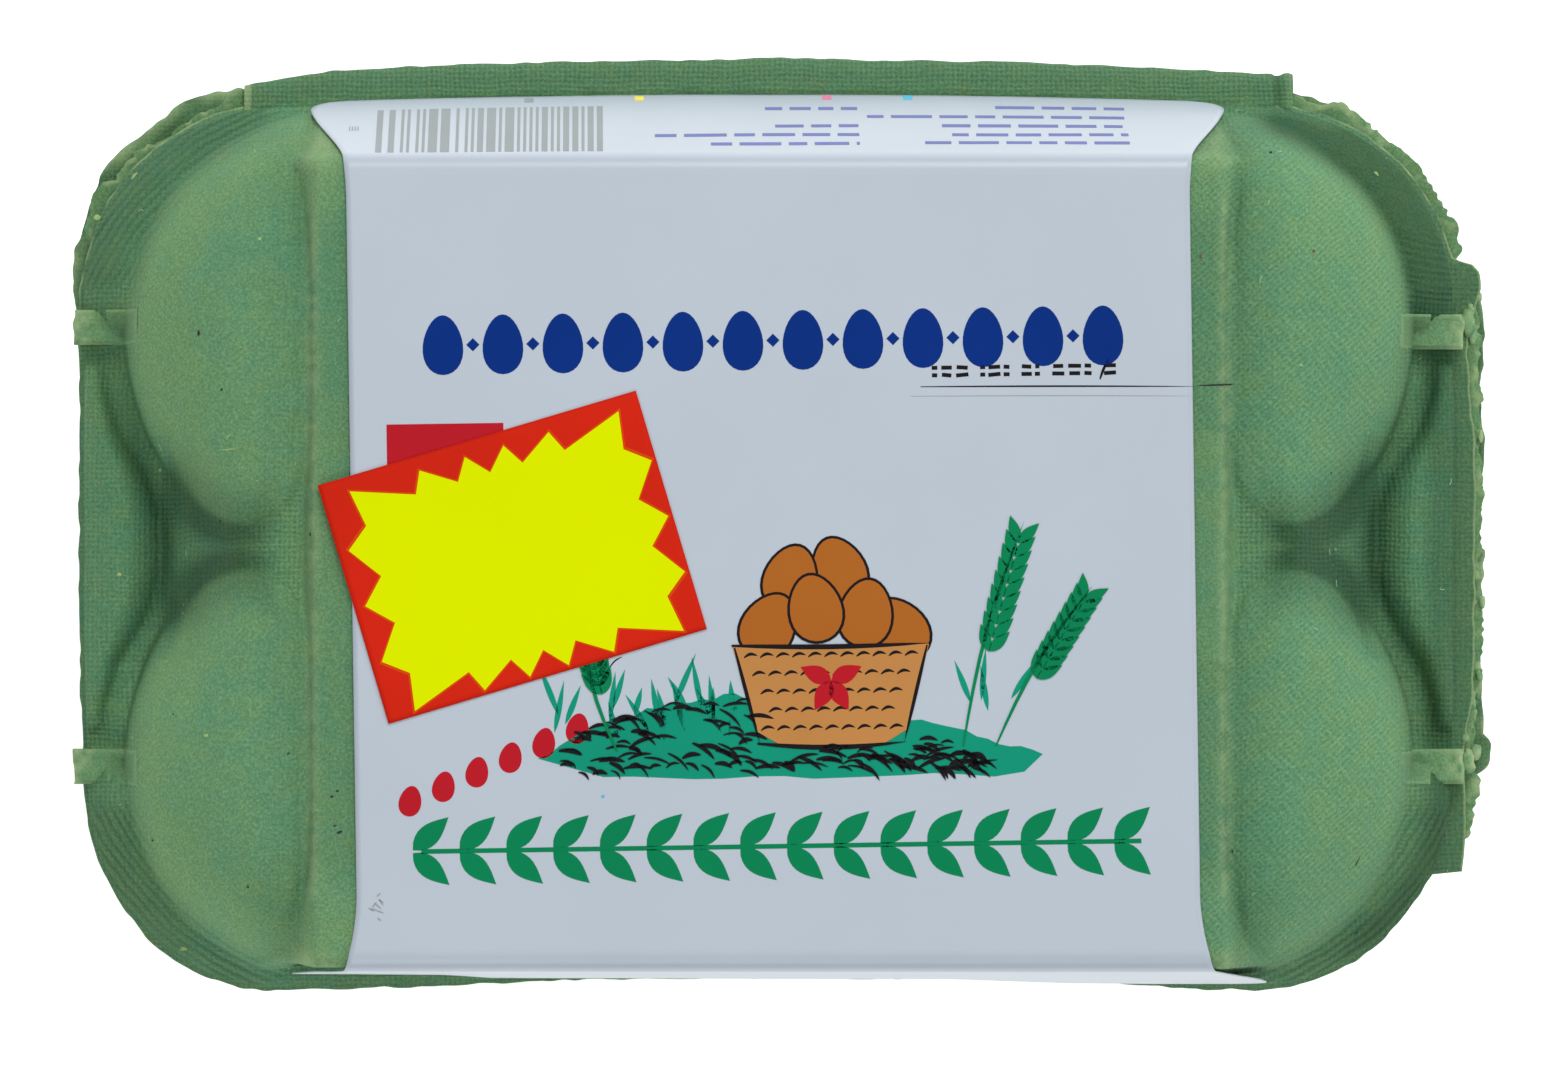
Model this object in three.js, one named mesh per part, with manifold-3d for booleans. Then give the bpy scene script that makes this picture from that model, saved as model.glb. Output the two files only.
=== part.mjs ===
// Half-dozen egg box of moulded pulp, shut, with a paper label over its lid and a price sticker on it.
// Millimetres, +Z up, +X along the length, +Y towards the hinge. The feet stand on z = 0.
import * as THREE from 'three';
import { mergeVertices } from 'three/addons/utils/BufferGeometryUtils.js';
import Module from 'manifold-3d';

const wasm = await Module();
wasm.setup();

// Driving dimensions
const rim = {
  halfLength: 75.1, // lid edge at the ends
  halfDepth: 48.4, // lid edge at front and back
  corner: 22, // corner radius in plan
  bow: 1.0, // how far the middle of the front and back edges lies nearer the hinge
  bowRate: 3.4e-4, // how fast that falls off on either side
};
const level = { flangeUnder: 38.0, trayTop: 40.0, lidUnder: 40.5, lidTop: 42.2, panel: 68.0 };
const slit = { depth: 3.0 }; // the seam between lid and tray runs this far in before the solid core
const flange = { round: 0.6, edgeDrop: 0.9 }; // rounding of the lid's edge
const blend = { dome: 1.6, saddle: 1.2, block: 0.5 }; // how softly the lid's parts run into each other
const overlap = 0.8; // how far joined solids reach into each other
const panel = { halfLength: 48.6, fold: 1.6, endFall: 2.2 };
const walls = { back: { edge: 41.4, angle: 75 }, front: { edge: 45.0, angle: 84.5 } }; // edge, slope
const dome = {
  x: 48.8,
  y: 24.6,
  length: 20.9,
  depth: 22.5, // towards front and back; towards the other dome it is, by x:
  inward: [[48.8, 60], [55.5, 60], [58.5, 42], [61.5, 30], [64.2, 26.3], [69.7, 27]],
  height: 24.7,
  power: 2.6,
  fuller: 1.6, // more power beside the panel's corners
  flank: 0.55,
};
const saddle = { x: 48.9, top: 22.7, fall: 0.06, from: 57.2, steep: 2.35, turn: 2.4, masked: [14, 24] };
const lens = { centre: 98.5, radius: 32.6, foot: 1.2, rise: 3.6, crest: 0.42, halfDepth: 20 };
const band = { foot: 0.9, rise: 6.4, width: 6.2, from: 20.5, to: 27.5, clear: [47, 57] };
const rib = { y: 23.9, width: 3.8, from: 67.4, to: 74.8, height: 3.9, taper: 0.35 };
const strip = { from: -35.4, to: 31.0, inner: 71.0, outer: 76.4, round: 0.4 }; // straight edge, right end
const cup = {
  pitchX: 48,
  pitchY: 48,
  foot: 12.4, // half-width at the foot
  top: 24.2, // half-width under the flange
  bulge: 0.42,
  footEdge: 1.6,
  narrower: 0.985, // depth over length
  round: 2.1, // power of the outline at the foot, and how much squarer it gets upwards
  squarer: 0.6,
  sides: 28,
};
const hinge = {
  from: -57.2,
  to: 57.3,
  outer: 53.3,
  bowRate: 5.5e-4,
  droop: { from: 40, by: 1.1 }, // its left end lies a little nearer the lid
  depth: 2.6,
  height: 2.1,
  z: 40.3,
  sides: 10,
  steps: 16,
};
// Where the tray's torn edge shows past the lid's: place, reach along the edge, how far it sticks out
// and how abruptly it ends
const ragged = [
  { x: 59, y: 48, reach: 22, out: 1.7, edge: 2 },
  { x: 75, y: 2.6, reach: 29, out: 2.9, edge: 16 },
  { x: 75, y: -22.5, reach: 3.4, out: 3.6, edge: 4 },
  { x: -67, y: 44, reach: 24, out: 2.6, edge: 2 },
];
const grid = { endColumns: 15, panelColumns: 6, straightRows: 26, cornerRows: 10, edgeStep: 0.035 };
const label = {
  gap: 0.3,
  thickness: 0.3,
  halfWidth: 45.1, // on the panel
  aside: 0.5, // its middle lies this far to the right
  turn: 0.85, // stuck on askew, in degrees
  back: { width: 49.8, end: 66.2 }, // half-width at the flap's end, developed length from the middle to it
  front: { width: 53.2, end: 68.2 },
  flareFrom: 37,
  cornerRound: 4,
  wallStep: 6,
  columns: 10,
};
const sticker = {
  x: -27.4,
  y: -1.1,
  length: 35.5,
  depth: 26.6,
  turn: 16.6,
  gap: 0.3,
  thickness: 0.3,
  round: 0.6,
};
const looks = {
  pulp: { color: 0x5f9564, roughness: 0.95, metalness: 0 },
  paper: { color: 0xc2ccd6, roughness: 0.45, metalness: 0 },
  sticker: { color: 0xd82f16, roughness: 0.5, metalness: 0 },
};

// Small helpers
const clamp = (t, low, high) => Math.min(high, Math.max(low, t));
const smooth = (low, high, t) => {
  const s = clamp((t - low) / (high - low), 0, 1);
  return s * s * (3 - 2 * s);
};
const softMax = (a, b, blend) => {
  const near = Math.max(blend - Math.abs(a - b), 0) / blend;
  return Math.max(a, b) + near * near * blend * 0.25;
};
const radians = THREE.MathUtils.degToRad;
function readTable(table, t) {
  const next = Math.max(1, table.findIndex(([place]) => place > t));
  const [[t0, v0], [t1, v1]] = t >= table.at(-1)[0] ? table.slice(-2) : table.slice(next - 1, next + 1);
  return v0 + (v1 - v0) * clamp((t - t0) / (t1 - t0), 0, 1);
}

// The rim's bow, full at the flange and fading towards the panel and the feet
const rimBow = (x) => Math.max(0, rim.bow - rim.bowRate * x * x);
const lidLean = (z) => 1 - clamp((z - level.lidTop) / (level.panel - level.lidTop), 0, 1);
const trayLean = (z) => clamp(z / level.trayTop, 0, 1);

// Section of the flat panel and its walls: where each fold starts and ends and where it turns into wall
const rise = level.panel - level.lidTop;
function wallOf({ edge, angle }) {
  const slope = radians(angle);
  const start = edge - panel.fold * Math.tan(slope / 2);
  const end = start + panel.fold * Math.sin(slope);
  return { slope, start, end, turned: start + panel.fold * slope };
}
const back = wallOf(walls.back);
const front = wallOf(walls.front);

// A point of the section by developed length from the middle, offset outwards
function sectionPoint(developed, offset) {
  const side = developed > 0 ? back : front;
  const s = Math.abs(developed);
  const reach = panel.fold + offset;
  const turn = clamp((s - side.start) / panel.fold, 0, side.slope);
  const along = Math.max(0, s - side.turned);
  const y = Math.min(s, side.start) + reach * Math.sin(turn) + along * Math.cos(side.slope);
  const z = level.panel - panel.fold + reach * Math.cos(turn) - along * Math.sin(side.slope);
  return [Math.sign(developed) * y, z];
}

// Heights of the lid's parts above its flange; all but the block mirror from the first quarter of the plan
function blockHeight(x, y) {
  const side = y > 0 ? back : front;
  const out = Math.abs(y);
  let height = rise;
  if (out > side.end) {
    height -= panel.fold * (1 - Math.cos(side.slope)) + (out - side.end) * Math.tan(side.slope);
  } else if (out > side.start) {
    height -= panel.fold - Math.sqrt(panel.fold ** 2 - (out - side.start) ** 2);
  }
  return height - Math.max(0, x - panel.halfLength) * panel.endFall;
}
function domeHeight(x, y) {
  const depth = y < dome.y ? readTable(dome.inward, x) : dome.depth;
  const reach = Math.hypot(Math.max(0, x - dome.x) / dome.length, (y - dome.y) / depth);
  const beside = smooth(25, 34, y) * smooth(49, 51.5, x) * (1 - smooth(52, 62, x));
  const power = dome.power + dome.fuller * beside;
  return dome.height * (1 - Math.min(reach, 1) ** power) ** dome.flank;
}
function saddleHeight(x, y) {
  const gentle = saddle.top - saddle.fall * Math.max(0, x - saddle.x);
  const edge = saddle.top - saddle.fall * (saddle.from - saddle.x);
  const steep = edge - saddle.steep * (x - saddle.from);
  return Math.max(0, -softMax(-gentle, -steep, saddle.turn)) * (1 - smooth(...saddle.masked, y));
}
function lensHeight(x, y) {
  const crease = lens.centre - Math.sqrt(lens.radius ** 2 - Math.min(y, lens.halfDepth) ** 2);
  const across = clamp((x - crease) / (rim.halfLength - crease), 0, 1);
  const climb = across < lens.crest ? across / lens.crest : (1 - across) / (1 - lens.crest);
  const along = Math.sqrt(Math.max(0, 1 - (y / lens.halfDepth) ** 2));
  return lens.foot + lens.rise * Math.sin(climb * Math.PI / 2) * along;
}
function bandHeight(x, y) {
  const centreX = rim.halfLength - rim.corner;
  const centreY = rim.halfDepth - rim.corner;
  const past = Math.hypot(Math.max(0, x - centreX), Math.max(0, y - centreY));
  const inset = clamp((rim.corner - past) / band.width, 0, 1);
  const low = lens.foot + (band.foot - lens.foot) * smooth(band.from, band.to, y);
  const corner = smooth(band.from, band.to, y) * smooth(...band.clear, x);
  return low + band.rise * Math.sin(inset * Math.PI / 2) * corner;
}
function lidHeight(px, py) {
  const x = Math.abs(px);
  const y = Math.abs(py);
  const bulge = softMax(domeHeight(x, y), saddleHeight(x, y), blend.saddle);
  let height = softMax(bandHeight(x, y), bulge, blend.dome);
  if (y < lens.halfDepth) height = Math.max(height, lensHeight(x, y));
  return softMax(height, blockHeight(x, py), blend.block);
}

// Solids from meshes of shared points, and back
function toSolid(points, faces) {
  let geometry = new THREE.BufferGeometry();
  geometry.setAttribute('position', new THREE.Float32BufferAttribute(points.flat(), 3));
  geometry.setIndex(faces.flat());
  geometry = mergeVertices(geometry, 1e-5);
  const vertProperties = new Float32Array(geometry.attributes.position.array);
  const triVerts = new Uint32Array(geometry.index.array);
  return new wasm.Manifold(new wasm.Mesh({ numProp: 3, vertProperties, triVerts }));
}
function toGeometry(solid) {
  const { vertProperties, triVerts, numProp } = solid.getMesh();
  const positions = [];
  for (let i = 0; i < vertProperties.length; i += numProp) {
    positions.push(vertProperties[i], vertProperties[i + 1], vertProperties[i + 2]);
  }
  const geometry = new THREE.BufferGeometry();
  geometry.setAttribute('position', new THREE.Float32BufferAttribute(positions, 3));
  geometry.setIndex([...triVerts]);
  geometry.computeVertexNormals();
  return geometry;
}

// A closed body through rings of equal count, listed upwards with each ring anticlockwise seen from above
function loft(rings) {
  const count = rings[0].length;
  const points = rings.flat();
  const faces = [];
  for (let r = 0; r + 1 < rings.length; r += 1) {
    for (let i = 0; i < count; i += 1) {
      const next = (i + 1) % count;
      const [a, b] = [r * count + i, r * count + next];
      faces.push([a, b, b + count], [a, b + count, a + count]);
    }
  }
  const middle = (ring) => [0, 1, 2].map((k) => ring.reduce((sum, p) => sum + p[k], 0) / count);
  const bottom = points.push(middle(rings[0])) - 1;
  const top = points.push(middle(rings.at(-1))) - 1;
  const last = (rings.length - 1) * count;
  for (let i = 0; i < count; i += 1) {
    const next = (i + 1) % count;
    faces.push([bottom, next, i], [top, last + i, last + next]);
  }
  return toSolid(points, faces);
}

// Rounded outline of the rim, anticlockwise, moved outwards by what grow gives for each place
function rimLoop(grow, cornerSteps = 10, longSteps = 14, endSteps = 14) {
  const centreX = rim.halfLength - rim.corner;
  const centreY = rim.halfDepth - rim.corner;
  const loop = [];
  const put = (x, y, angle) => {
    const [nx, ny] = [Math.cos(angle), Math.sin(angle)];
    const [edgeX, edgeY] = [x + rim.corner * nx, y + rim.corner * ny];
    const more = grow(edgeX, edgeY);
    loop.push([edgeX + more * nx, edgeY + more * ny]);
  };
  const sides = [
    [1, -1, 0, endSteps],
    [1, 1, 90, longSteps],
    [-1, 1, 180, endSteps],
    [-1, -1, 270, longSteps],
  ];
  sides.forEach(([sx, sy, turn, steps], side) => {
    const [toX, toY] = sides[(side + 1) % 4];
    for (let i = 0; i < cornerSteps; i += 1) {
      put(sx * centreX, sy * centreY, radians(turn - 90 + (90 * i) / cornerSteps));
    }
    for (let i = 0; i < steps; i += 1) {
      const t = i / steps;
      const x = centreX * (sx + (toX - sx) * t);
      const y = centreY * (sy + (toY - sy) * t);
      put(x, y, radians(turn));
    }
  });
  return loop;
}
const levelRing = (loop, z, lean) => loop.map(([x, y]) => [x, y + rimBow(x) * lean(z), z]);

// Lid: a grid over the plan, raised to the lid's height, with a rounded edge and a flat underside
function lidColumns(y) {
  const centreX = rim.halfLength - rim.corner;
  const past = Math.max(0, Math.abs(y) - (rim.halfDepth - rim.corner));
  const reach = rim.corner - flange.round;
  const edge = centreX + Math.sqrt(Math.max(0, reach ** 2 - past ** 2));
  const end = [];
  for (let i = 1; i <= grid.endColumns; i += 1) {
    const t = i / grid.endColumns;
    end.push(panel.halfLength + (edge - panel.halfLength) * (i === 1 ? grid.edgeStep : t));
  }
  const flat = [];
  for (let i = 0; i <= grid.panelColumns; i += 1) {
    flat.push(panel.halfLength * ((2 * i) / grid.panelColumns - 1));
  }
  return [...end.map((x) => -x).reverse(), ...flat, ...end];
}
function lidRows() {
  const centreY = rim.halfDepth - rim.corner;
  const reach = rim.corner - flange.round;
  const half = [];
  for (let i = 1; i <= grid.straightRows / 2; i += 1) half.push((centreY * i) / (grid.straightRows / 2));
  for (let i = 1; i <= grid.cornerRows; i += 1) {
    half.push(centreY + reach * Math.sin((Math.PI / 2) * (i / grid.cornerRows)));
  }
  const rows = [...half.map((y) => -y), 0, ...half, -front.start, -front.end, back.start, back.end];
  return rows.sort((a, b) => a - b);
}
function lidSolid() {
  const rows = lidRows();
  const width = lidColumns(0).length;
  const points = [];
  const plan = [];
  rows.forEach((y) => lidColumns(y).forEach((x) => {
    const z = level.lidTop + lidHeight(x, y);
    plan.push([x, y]);
    points.push([x, y + rimBow(x) * lidLean(z), z]);
  }));
  const faces = [];
  const at = (row, column) => row * width + column;
  for (let r = 0; r + 1 < rows.length; r += 1) {
    for (let c = 0; c + 1 < width; c += 1) {
      const [a, b, d, e] = [at(r, c), at(r, c + 1), at(r + 1, c + 1), at(r + 1, c)];
      const flip = (plan[a][0] > 0) === (plan[a][1] > 0);
      if (flip) faces.push([a, b, d], [a, d, e]);
      else faces.push([a, b, e], [b, d, e]);
    }
  }
  const edge = [];
  for (let c = 0; c < width; c += 1) edge.push(at(0, c));
  for (let r = 1; r < rows.length; r += 1) edge.push(at(r, width - 1));
  for (let c = width - 2; c >= 0; c -= 1) edge.push(at(rows.length - 1, c));
  for (let r = rows.length - 2; r > 0; r -= 1) edge.push(at(r, 0));
  let above = edge;
  const under = [[flange.round, level.lidTop - flange.edgeDrop], [flange.round, level.lidUnder]];
  under.forEach(([grow, z]) => {
    const ring = edge.map((id) => {
      const [x, y] = plan[id];
      const [centreX, centreY] = [rim.halfLength - rim.corner, rim.halfDepth - rim.corner];
      const away = [x - clamp(x, -centreX, centreX), y - clamp(y, -centreY, centreY)];
      const scale = grow / Math.hypot(...away);
      const [ox, oy] = [x + away[0] * scale, y + away[1] * scale];
      return points.push([ox, oy + rimBow(ox), z]) - 1;
    });
    ring.forEach((id, i) => {
      const next = (i + 1) % ring.length;
      faces.push([id, ring[next], above[next]], [id, above[next], above[i]]);
    });
    above = ring;
  });
  const middle = points.push([0, rimBow(0), level.lidUnder]) - 1;
  above.forEach((id, i) => faces.push([middle, above[(i + 1) % above.length], id]));
  return toSolid(points, faces);
}

// Ribs that brace the lid's end edge at the foot of each dome, and the straight strip at the right end
function ribSolid(sx, sy) {
  const foot = level.lidUnder + overlap / 2;
  const ring = (z, taper) => {
    const loop = [[rib.from, -1], [rib.to - taper, -1], [rib.to - taper, 1], [rib.from, 1]];
    const placed = loop.map(([x, side]) => {
      const y = sy * rib.y + side * (rib.width / 2 - taper);
      return [sx * x, y + rimBow(sx * x), z];
    });
    return sx > 0 ? placed : placed.reverse();
  };
  const top = level.lidTop + rib.height;
  return loft([ring(foot, 0), ring(top - rib.taper, 0), ring(top, rib.taper)]);
}
function stripSolid() {
  const ring = (z, taper) => [
    [strip.inner, strip.from + taper],
    [strip.outer - taper, strip.from + taper],
    [strip.outer - taper, strip.to - taper],
    [strip.inner, strip.to - taper],
  ].map(([x, y]) => [x, y + rimBow(x), z]);
  const top = level.lidTop;
  return loft([ring(level.lidUnder, 0), ring(top - strip.round, 0), ring(top, strip.round)]);
}

// Tray: a flange and six cups with flat feet
function trayGrow(x, y) {
  const out = ragged.map((tear) => {
    const away = Math.hypot(x - tear.x, y - tear.y) / tear.reach;
    return tear.out * Math.exp(-2 * away ** tear.edge);
  });
  return Math.max(...out);
}
function traySolid() {
  const under = level.flangeUnder;
  const steps = [[flange.round, under], [0, under + flange.round], [0, level.trayTop]];
  return loft(steps.map(([inset, z]) => {
    const loop = rimLoop((x, y) => trayGrow(x, y) - inset);
    return levelRing(loop, z, trayLean);
  }));
}
function cupSolid(column, row) {
  const heights = [0, 0.5, 2, 5, 10, 17, 26, level.flangeUnder + overlap];
  const rings = heights.map((z) => {
    const up = z / level.flangeUnder;
    const half = cup.foot + (cup.top - cup.foot) * up ** cup.bulge - (z === 0 ? cup.footEdge : 0);
    const power = cup.round + cup.squarer * up;
    const ring = [];
    for (let i = 0; i < cup.sides; i += 1) {
      const a = (2 * Math.PI * i) / cup.sides;
      const [c, s] = [Math.cos(a), Math.sin(a)];
      const x = column * cup.pitchX + half * Math.sign(c) * Math.abs(c) ** (2 / power);
      const depth = half * Math.sign(s) * Math.abs(s) ** (2 / power) * cup.narrower;
      const y = (row * cup.pitchY) / 2 + depth;
      ring.push([x, y + rimBow(x) * trayLean(z), z]);
    }
    return ring;
  });
  return loft(rings);
}
function coreSolid() {
  const loop = rimLoop(() => -slit.depth, 6, 6, 4);
  const ends = [level.trayTop - overlap, level.lidUnder + overlap];
  return loft(ends.map((z) => levelRing(loop, z, () => 1)));
}

// Hinge: a rounded bead along the back, where the one moulding folds over
function hingeSolid() {
  const rings = [];
  for (let i = 0; i <= hinge.steps; i += 1) {
    const x = hinge.from + ((hinge.to - hinge.from) * i) / hinge.steps;
    const drooped = clamp((-x - hinge.droop.from) / (-hinge.from - hinge.droop.from), 0, 1) ** 2;
    const middleY = hinge.outer - hinge.depth - hinge.bowRate * x * x - hinge.droop.by * drooped;
    const ring = [];
    for (let k = 0; k < hinge.sides; k += 1) {
      const a = (2 * Math.PI * k) / hinge.sides;
      ring.push([x, middleY + hinge.depth * Math.cos(a), hinge.z + hinge.height * Math.sin(a)]);
    }
    rings.push(ring);
  }
  return loft(rings);
}

function cartonSolid() {
  let solid = lidSolid().add(coreSolid()).add(traySolid()).add(hingeSolid()).add(stripSolid());
  for (const sx of [-1, 1]) for (const sy of [-1, 1]) solid = solid.add(ribSolid(sx, sy));
  for (const column of [-1, 0, 1]) for (const row of [-1, 1]) solid = solid.add(cupSolid(column, row));
  return solid;
}

// Label: a thin sheet over the panel, folded down the back and front walls, its flaps flared
function labelHalfWidth(developed) {
  const { end, width } = developed > 0 ? label.back : label.front;
  const s = Math.abs(developed);
  const flare = smooth(label.flareFrom, end, s) * (width - label.halfWidth);
  const round = Math.max(0, s - (end - label.cornerRound));
  const nip = label.cornerRound - Math.sqrt(Math.max(0, label.cornerRound ** 2 - round ** 2));
  return label.halfWidth + flare - nip;
}
function labelStops(side, end) {
  const stops = [0, side.start / 3, (2 * side.start) / 3, side.start];
  for (let i = 1; i < 4; i += 1) stops.push(side.start + ((side.turned - side.start) * i) / 4);
  stops.push(side.turned, side.turned + label.wallStep, side.turned + 2 * label.wallStep);
  for (let i = 0; i < 5; i += 1) stops.push(end - label.cornerRound * (1 - Math.sin((Math.PI / 8) * i)));
  return stops;
}
function labelSolid() {
  const towardsFront = labelStops(front, label.front.end).slice(1).map((s) => -s).reverse();
  const rows = [...towardsFront, ...labelStops(back, label.back.end)];
  const lean = Math.tan(radians(label.turn));
  const sheet = (offset) => rows.map((s) => {
    const half = labelHalfWidth(s);
    const line = [];
    for (let i = 0; i <= label.columns; i += 1) {
      const x = label.aside + half * ((2 * i) / label.columns - 1) - lean * clamp(s, -front.end, back.end);
      const [y, z] = sectionPoint(s, offset);
      line.push([x, y + rimBow(x) * lidLean(z), z]);
    }
    return line;
  });
  const width = label.columns + 1;
  const under = sheet(label.gap);
  const over = sheet(label.gap + label.thickness);
  const points = [...under.flat(), ...over.flat()];
  const half = under.length * width;
  const faces = [];
  for (let r = 0; r + 1 < rows.length; r += 1) {
    for (let c = 0; c < label.columns; c += 1) {
      const [a, b, d, e] = [r * width + c, r * width + c + 1, (r + 1) * width + c + 1, (r + 1) * width + c];
      faces.push([a, d, b], [a, e, d], [half + a, half + b, half + d], [half + a, half + d, half + e]);
    }
  }
  const edge = [];
  for (let c = 0; c < width; c += 1) edge.push(c);
  for (let r = 1; r < rows.length; r += 1) edge.push(r * width + label.columns);
  for (let c = label.columns - 1; c >= 0; c -= 1) edge.push((rows.length - 1) * width + c);
  for (let r = rows.length - 2; r > 0; r -= 1) edge.push(r * width);
  edge.forEach((a, i) => {
    const b = edge[(i + 1) % edge.length];
    faces.push([a, b, half + b], [a, half + b, half + a]);
  });
  return toSolid(points, faces);
}

// Price sticker: a thin rectangle lying askew on the label
function stickerSolid() {
  const [hx, hy] = [sticker.length / 2, sticker.depth / 2];
  const turn = radians(sticker.turn);
  const corners = [[-hx, -hy, 180], [hx, -hy, 270], [hx, hy, 0], [-hx, hy, 90]];
  const loop = corners.flatMap(([x, y, start]) => [0, 1, 2].map((i) => {
    const a = radians(start + 45 * i);
    const u = x - Math.sign(x) * sticker.round + sticker.round * Math.cos(a);
    const v = y - Math.sign(y) * sticker.round + sticker.round * Math.sin(a);
    return [
      sticker.x + u * Math.cos(turn) - v * Math.sin(turn),
      sticker.y + u * Math.sin(turn) + v * Math.cos(turn),
    ];
  }));
  const under = level.panel + label.gap + label.thickness + sticker.gap;
  return loft([under, under + sticker.thickness].map((z) => loop.map(([x, y]) => [x, y, z])));
}

function piece(name, solid, look) {
  const mesh = new THREE.Mesh(toGeometry(solid), new THREE.MeshStandardMaterial(look));
  mesh.name = name;
  return mesh;
}

const box = new THREE.Group();
box.add(piece('carton', cartonSolid(), looks.pulp));
box.add(piece('label', labelSolid(), looks.paper));
box.add(piece('price_sticker', stickerSolid(), looks.sticker));

// The origin is below the middle of the whole
const middle = new THREE.Box3().setFromObject(box).getCenter(new THREE.Vector3());
box.position.set(-middle.x, -middle.y, 0);

const eggBox = new THREE.Group();
eggBox.add(box);
export default eggBox;
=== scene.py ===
import math
import random
import bmesh
import bpy
import numpy as np
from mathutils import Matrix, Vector
from mathutils.bvhtree import BVHTree


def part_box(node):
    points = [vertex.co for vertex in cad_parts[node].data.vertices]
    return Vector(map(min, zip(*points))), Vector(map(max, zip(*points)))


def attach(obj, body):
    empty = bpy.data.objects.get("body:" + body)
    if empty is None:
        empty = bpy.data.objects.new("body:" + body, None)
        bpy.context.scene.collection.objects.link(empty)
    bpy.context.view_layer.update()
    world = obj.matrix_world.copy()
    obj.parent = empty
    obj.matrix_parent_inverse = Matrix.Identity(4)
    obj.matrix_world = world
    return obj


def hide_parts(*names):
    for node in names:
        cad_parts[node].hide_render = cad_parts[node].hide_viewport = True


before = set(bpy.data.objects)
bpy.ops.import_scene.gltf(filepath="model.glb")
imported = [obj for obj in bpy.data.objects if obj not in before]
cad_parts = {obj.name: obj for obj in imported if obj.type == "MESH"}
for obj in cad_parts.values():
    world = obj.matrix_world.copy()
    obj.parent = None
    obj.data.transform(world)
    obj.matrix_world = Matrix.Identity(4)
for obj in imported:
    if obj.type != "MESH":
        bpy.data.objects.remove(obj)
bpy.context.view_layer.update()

# Half-dozen egg box of green moulded pulp, shut, with its paper label and a price sticker.
# Lengths here are millimetres in the box's own plan, +X along the length, +Y to the hinge, +Z up.
millimetre = 0.001

rim = dict(halfLength=75.1, halfDepth=48.4, corner=22.0, bow=1.0, bowRate=3.4e-4)
level = dict(flangeUnder=38.0, trayTop=40.0, lidTop=42.2, panel=68.0)
panel = dict(halfLength=48.6, fold=1.6, endFall=2.2)
walls = dict(back=dict(edge=41.4, angle=75.0), front=dict(edge=45.0, angle=84.5))
sticker = dict(x=-27.4, y=-1.1, length=35.5, depth=26.6, turn=16.6, thickness=0.12, lift=0.5)


def smooth(low, high, t):
    s = np.clip((np.asarray(t, float) - low) / (high - low), 0.0, 1.0)
    return s * s * (3 - 2 * s)


def softMax(a, b, blend):
    near = np.maximum(blend - np.abs(a - b), 0) / blend
    return np.maximum(a, b) + near * near * blend * 0.25


# The box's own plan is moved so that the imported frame's origin is below its middle
stickerBox = [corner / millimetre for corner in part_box("price_sticker")]
stickerMiddle = (stickerBox[0] + stickerBox[1]) / 2
boxShift = np.array([stickerMiddle.x - sticker["x"], stickerMiddle.y - sticker["y"], 0.0])


# Smooth random lumps between -1 and 1, the same on every run
def lumps(x, y, size, seed):
    table = np.random.default_rng(seed).random((128, 128)) * 2 - 1
    gx, gy = np.asarray(x, float) / size, np.asarray(y, float) / size
    ix, iy = np.floor(gx).astype(int), np.floor(gy).astype(int)
    fx, fy = smooth(0, 1, gx - ix), smooth(0, 1, gy - iy)
    at = lambda a, b: table[a % 128, b % 128]
    near = at(ix, iy) * (1 - fx) + at(ix + 1, iy) * fx
    far = at(ix, iy + 1) * (1 - fx) + at(ix + 1, iy + 1) * fx
    return near * (1 - fy) + far * fy


# A mesh piece from points in millimetres, riding on the one body
def addPiece(name, points, faces, material, standsFor, smoothFaces=True):
    mesh = bpy.data.meshes.new(name)
    placed = (np.asarray(points, float) + boxShift) * millimetre
    mesh.from_pydata(placed.tolist(), [], faces)
    mesh.polygons.foreach_set("use_smooth", [smoothFaces] * len(mesh.polygons))
    mesh.materials.append(material)
    piece = bpy.data.objects.new(name, mesh)
    bpy.context.scene.collection.objects.link(piece)
    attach(piece, "root")
    if standsFor:
        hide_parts(standsFor)
    return piece


def setPointValues(piece, name, values):
    layer = piece.data.attributes.new(name, "FLOAT", "POINT")
    layer.data.foreach_set("value", np.asarray(values, np.float32))


def setLooks(piece, **looks):
    for name, values in looks.items():
        setPointValues(piece, name, values)


# A closed sheet's upper and lower points look alike
def setSheetLooks(piece, **looks):
    setLooks(piece, **{name: np.tile(values.ravel(), 2) for name, values in looks.items()})


# Quads between two rings of equal count
def ringQuads(first, second, count):
    return [
        (first + i, first + (i + 1) % count, second + (i + 1) % count, second + i)
        for i in range(count)
    ]


# The faces that shut a tube at its first and its last ring
def ringCaps(first, last, count):
    return [tuple(first + i for i in reversed(range(count))), tuple(last + i for i in range(count))]


# A colour given in the photo's eight bits, as the light that a shader takes
def linear(red, green, blue):
    shade = []
    for value in (red, green, blue):
        v = value / 255
        shade.append(v / 12.92 if v <= 0.04045 else ((v + 0.055) / 1.055) ** 2.4)
    return (*shade, 1.0)


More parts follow.
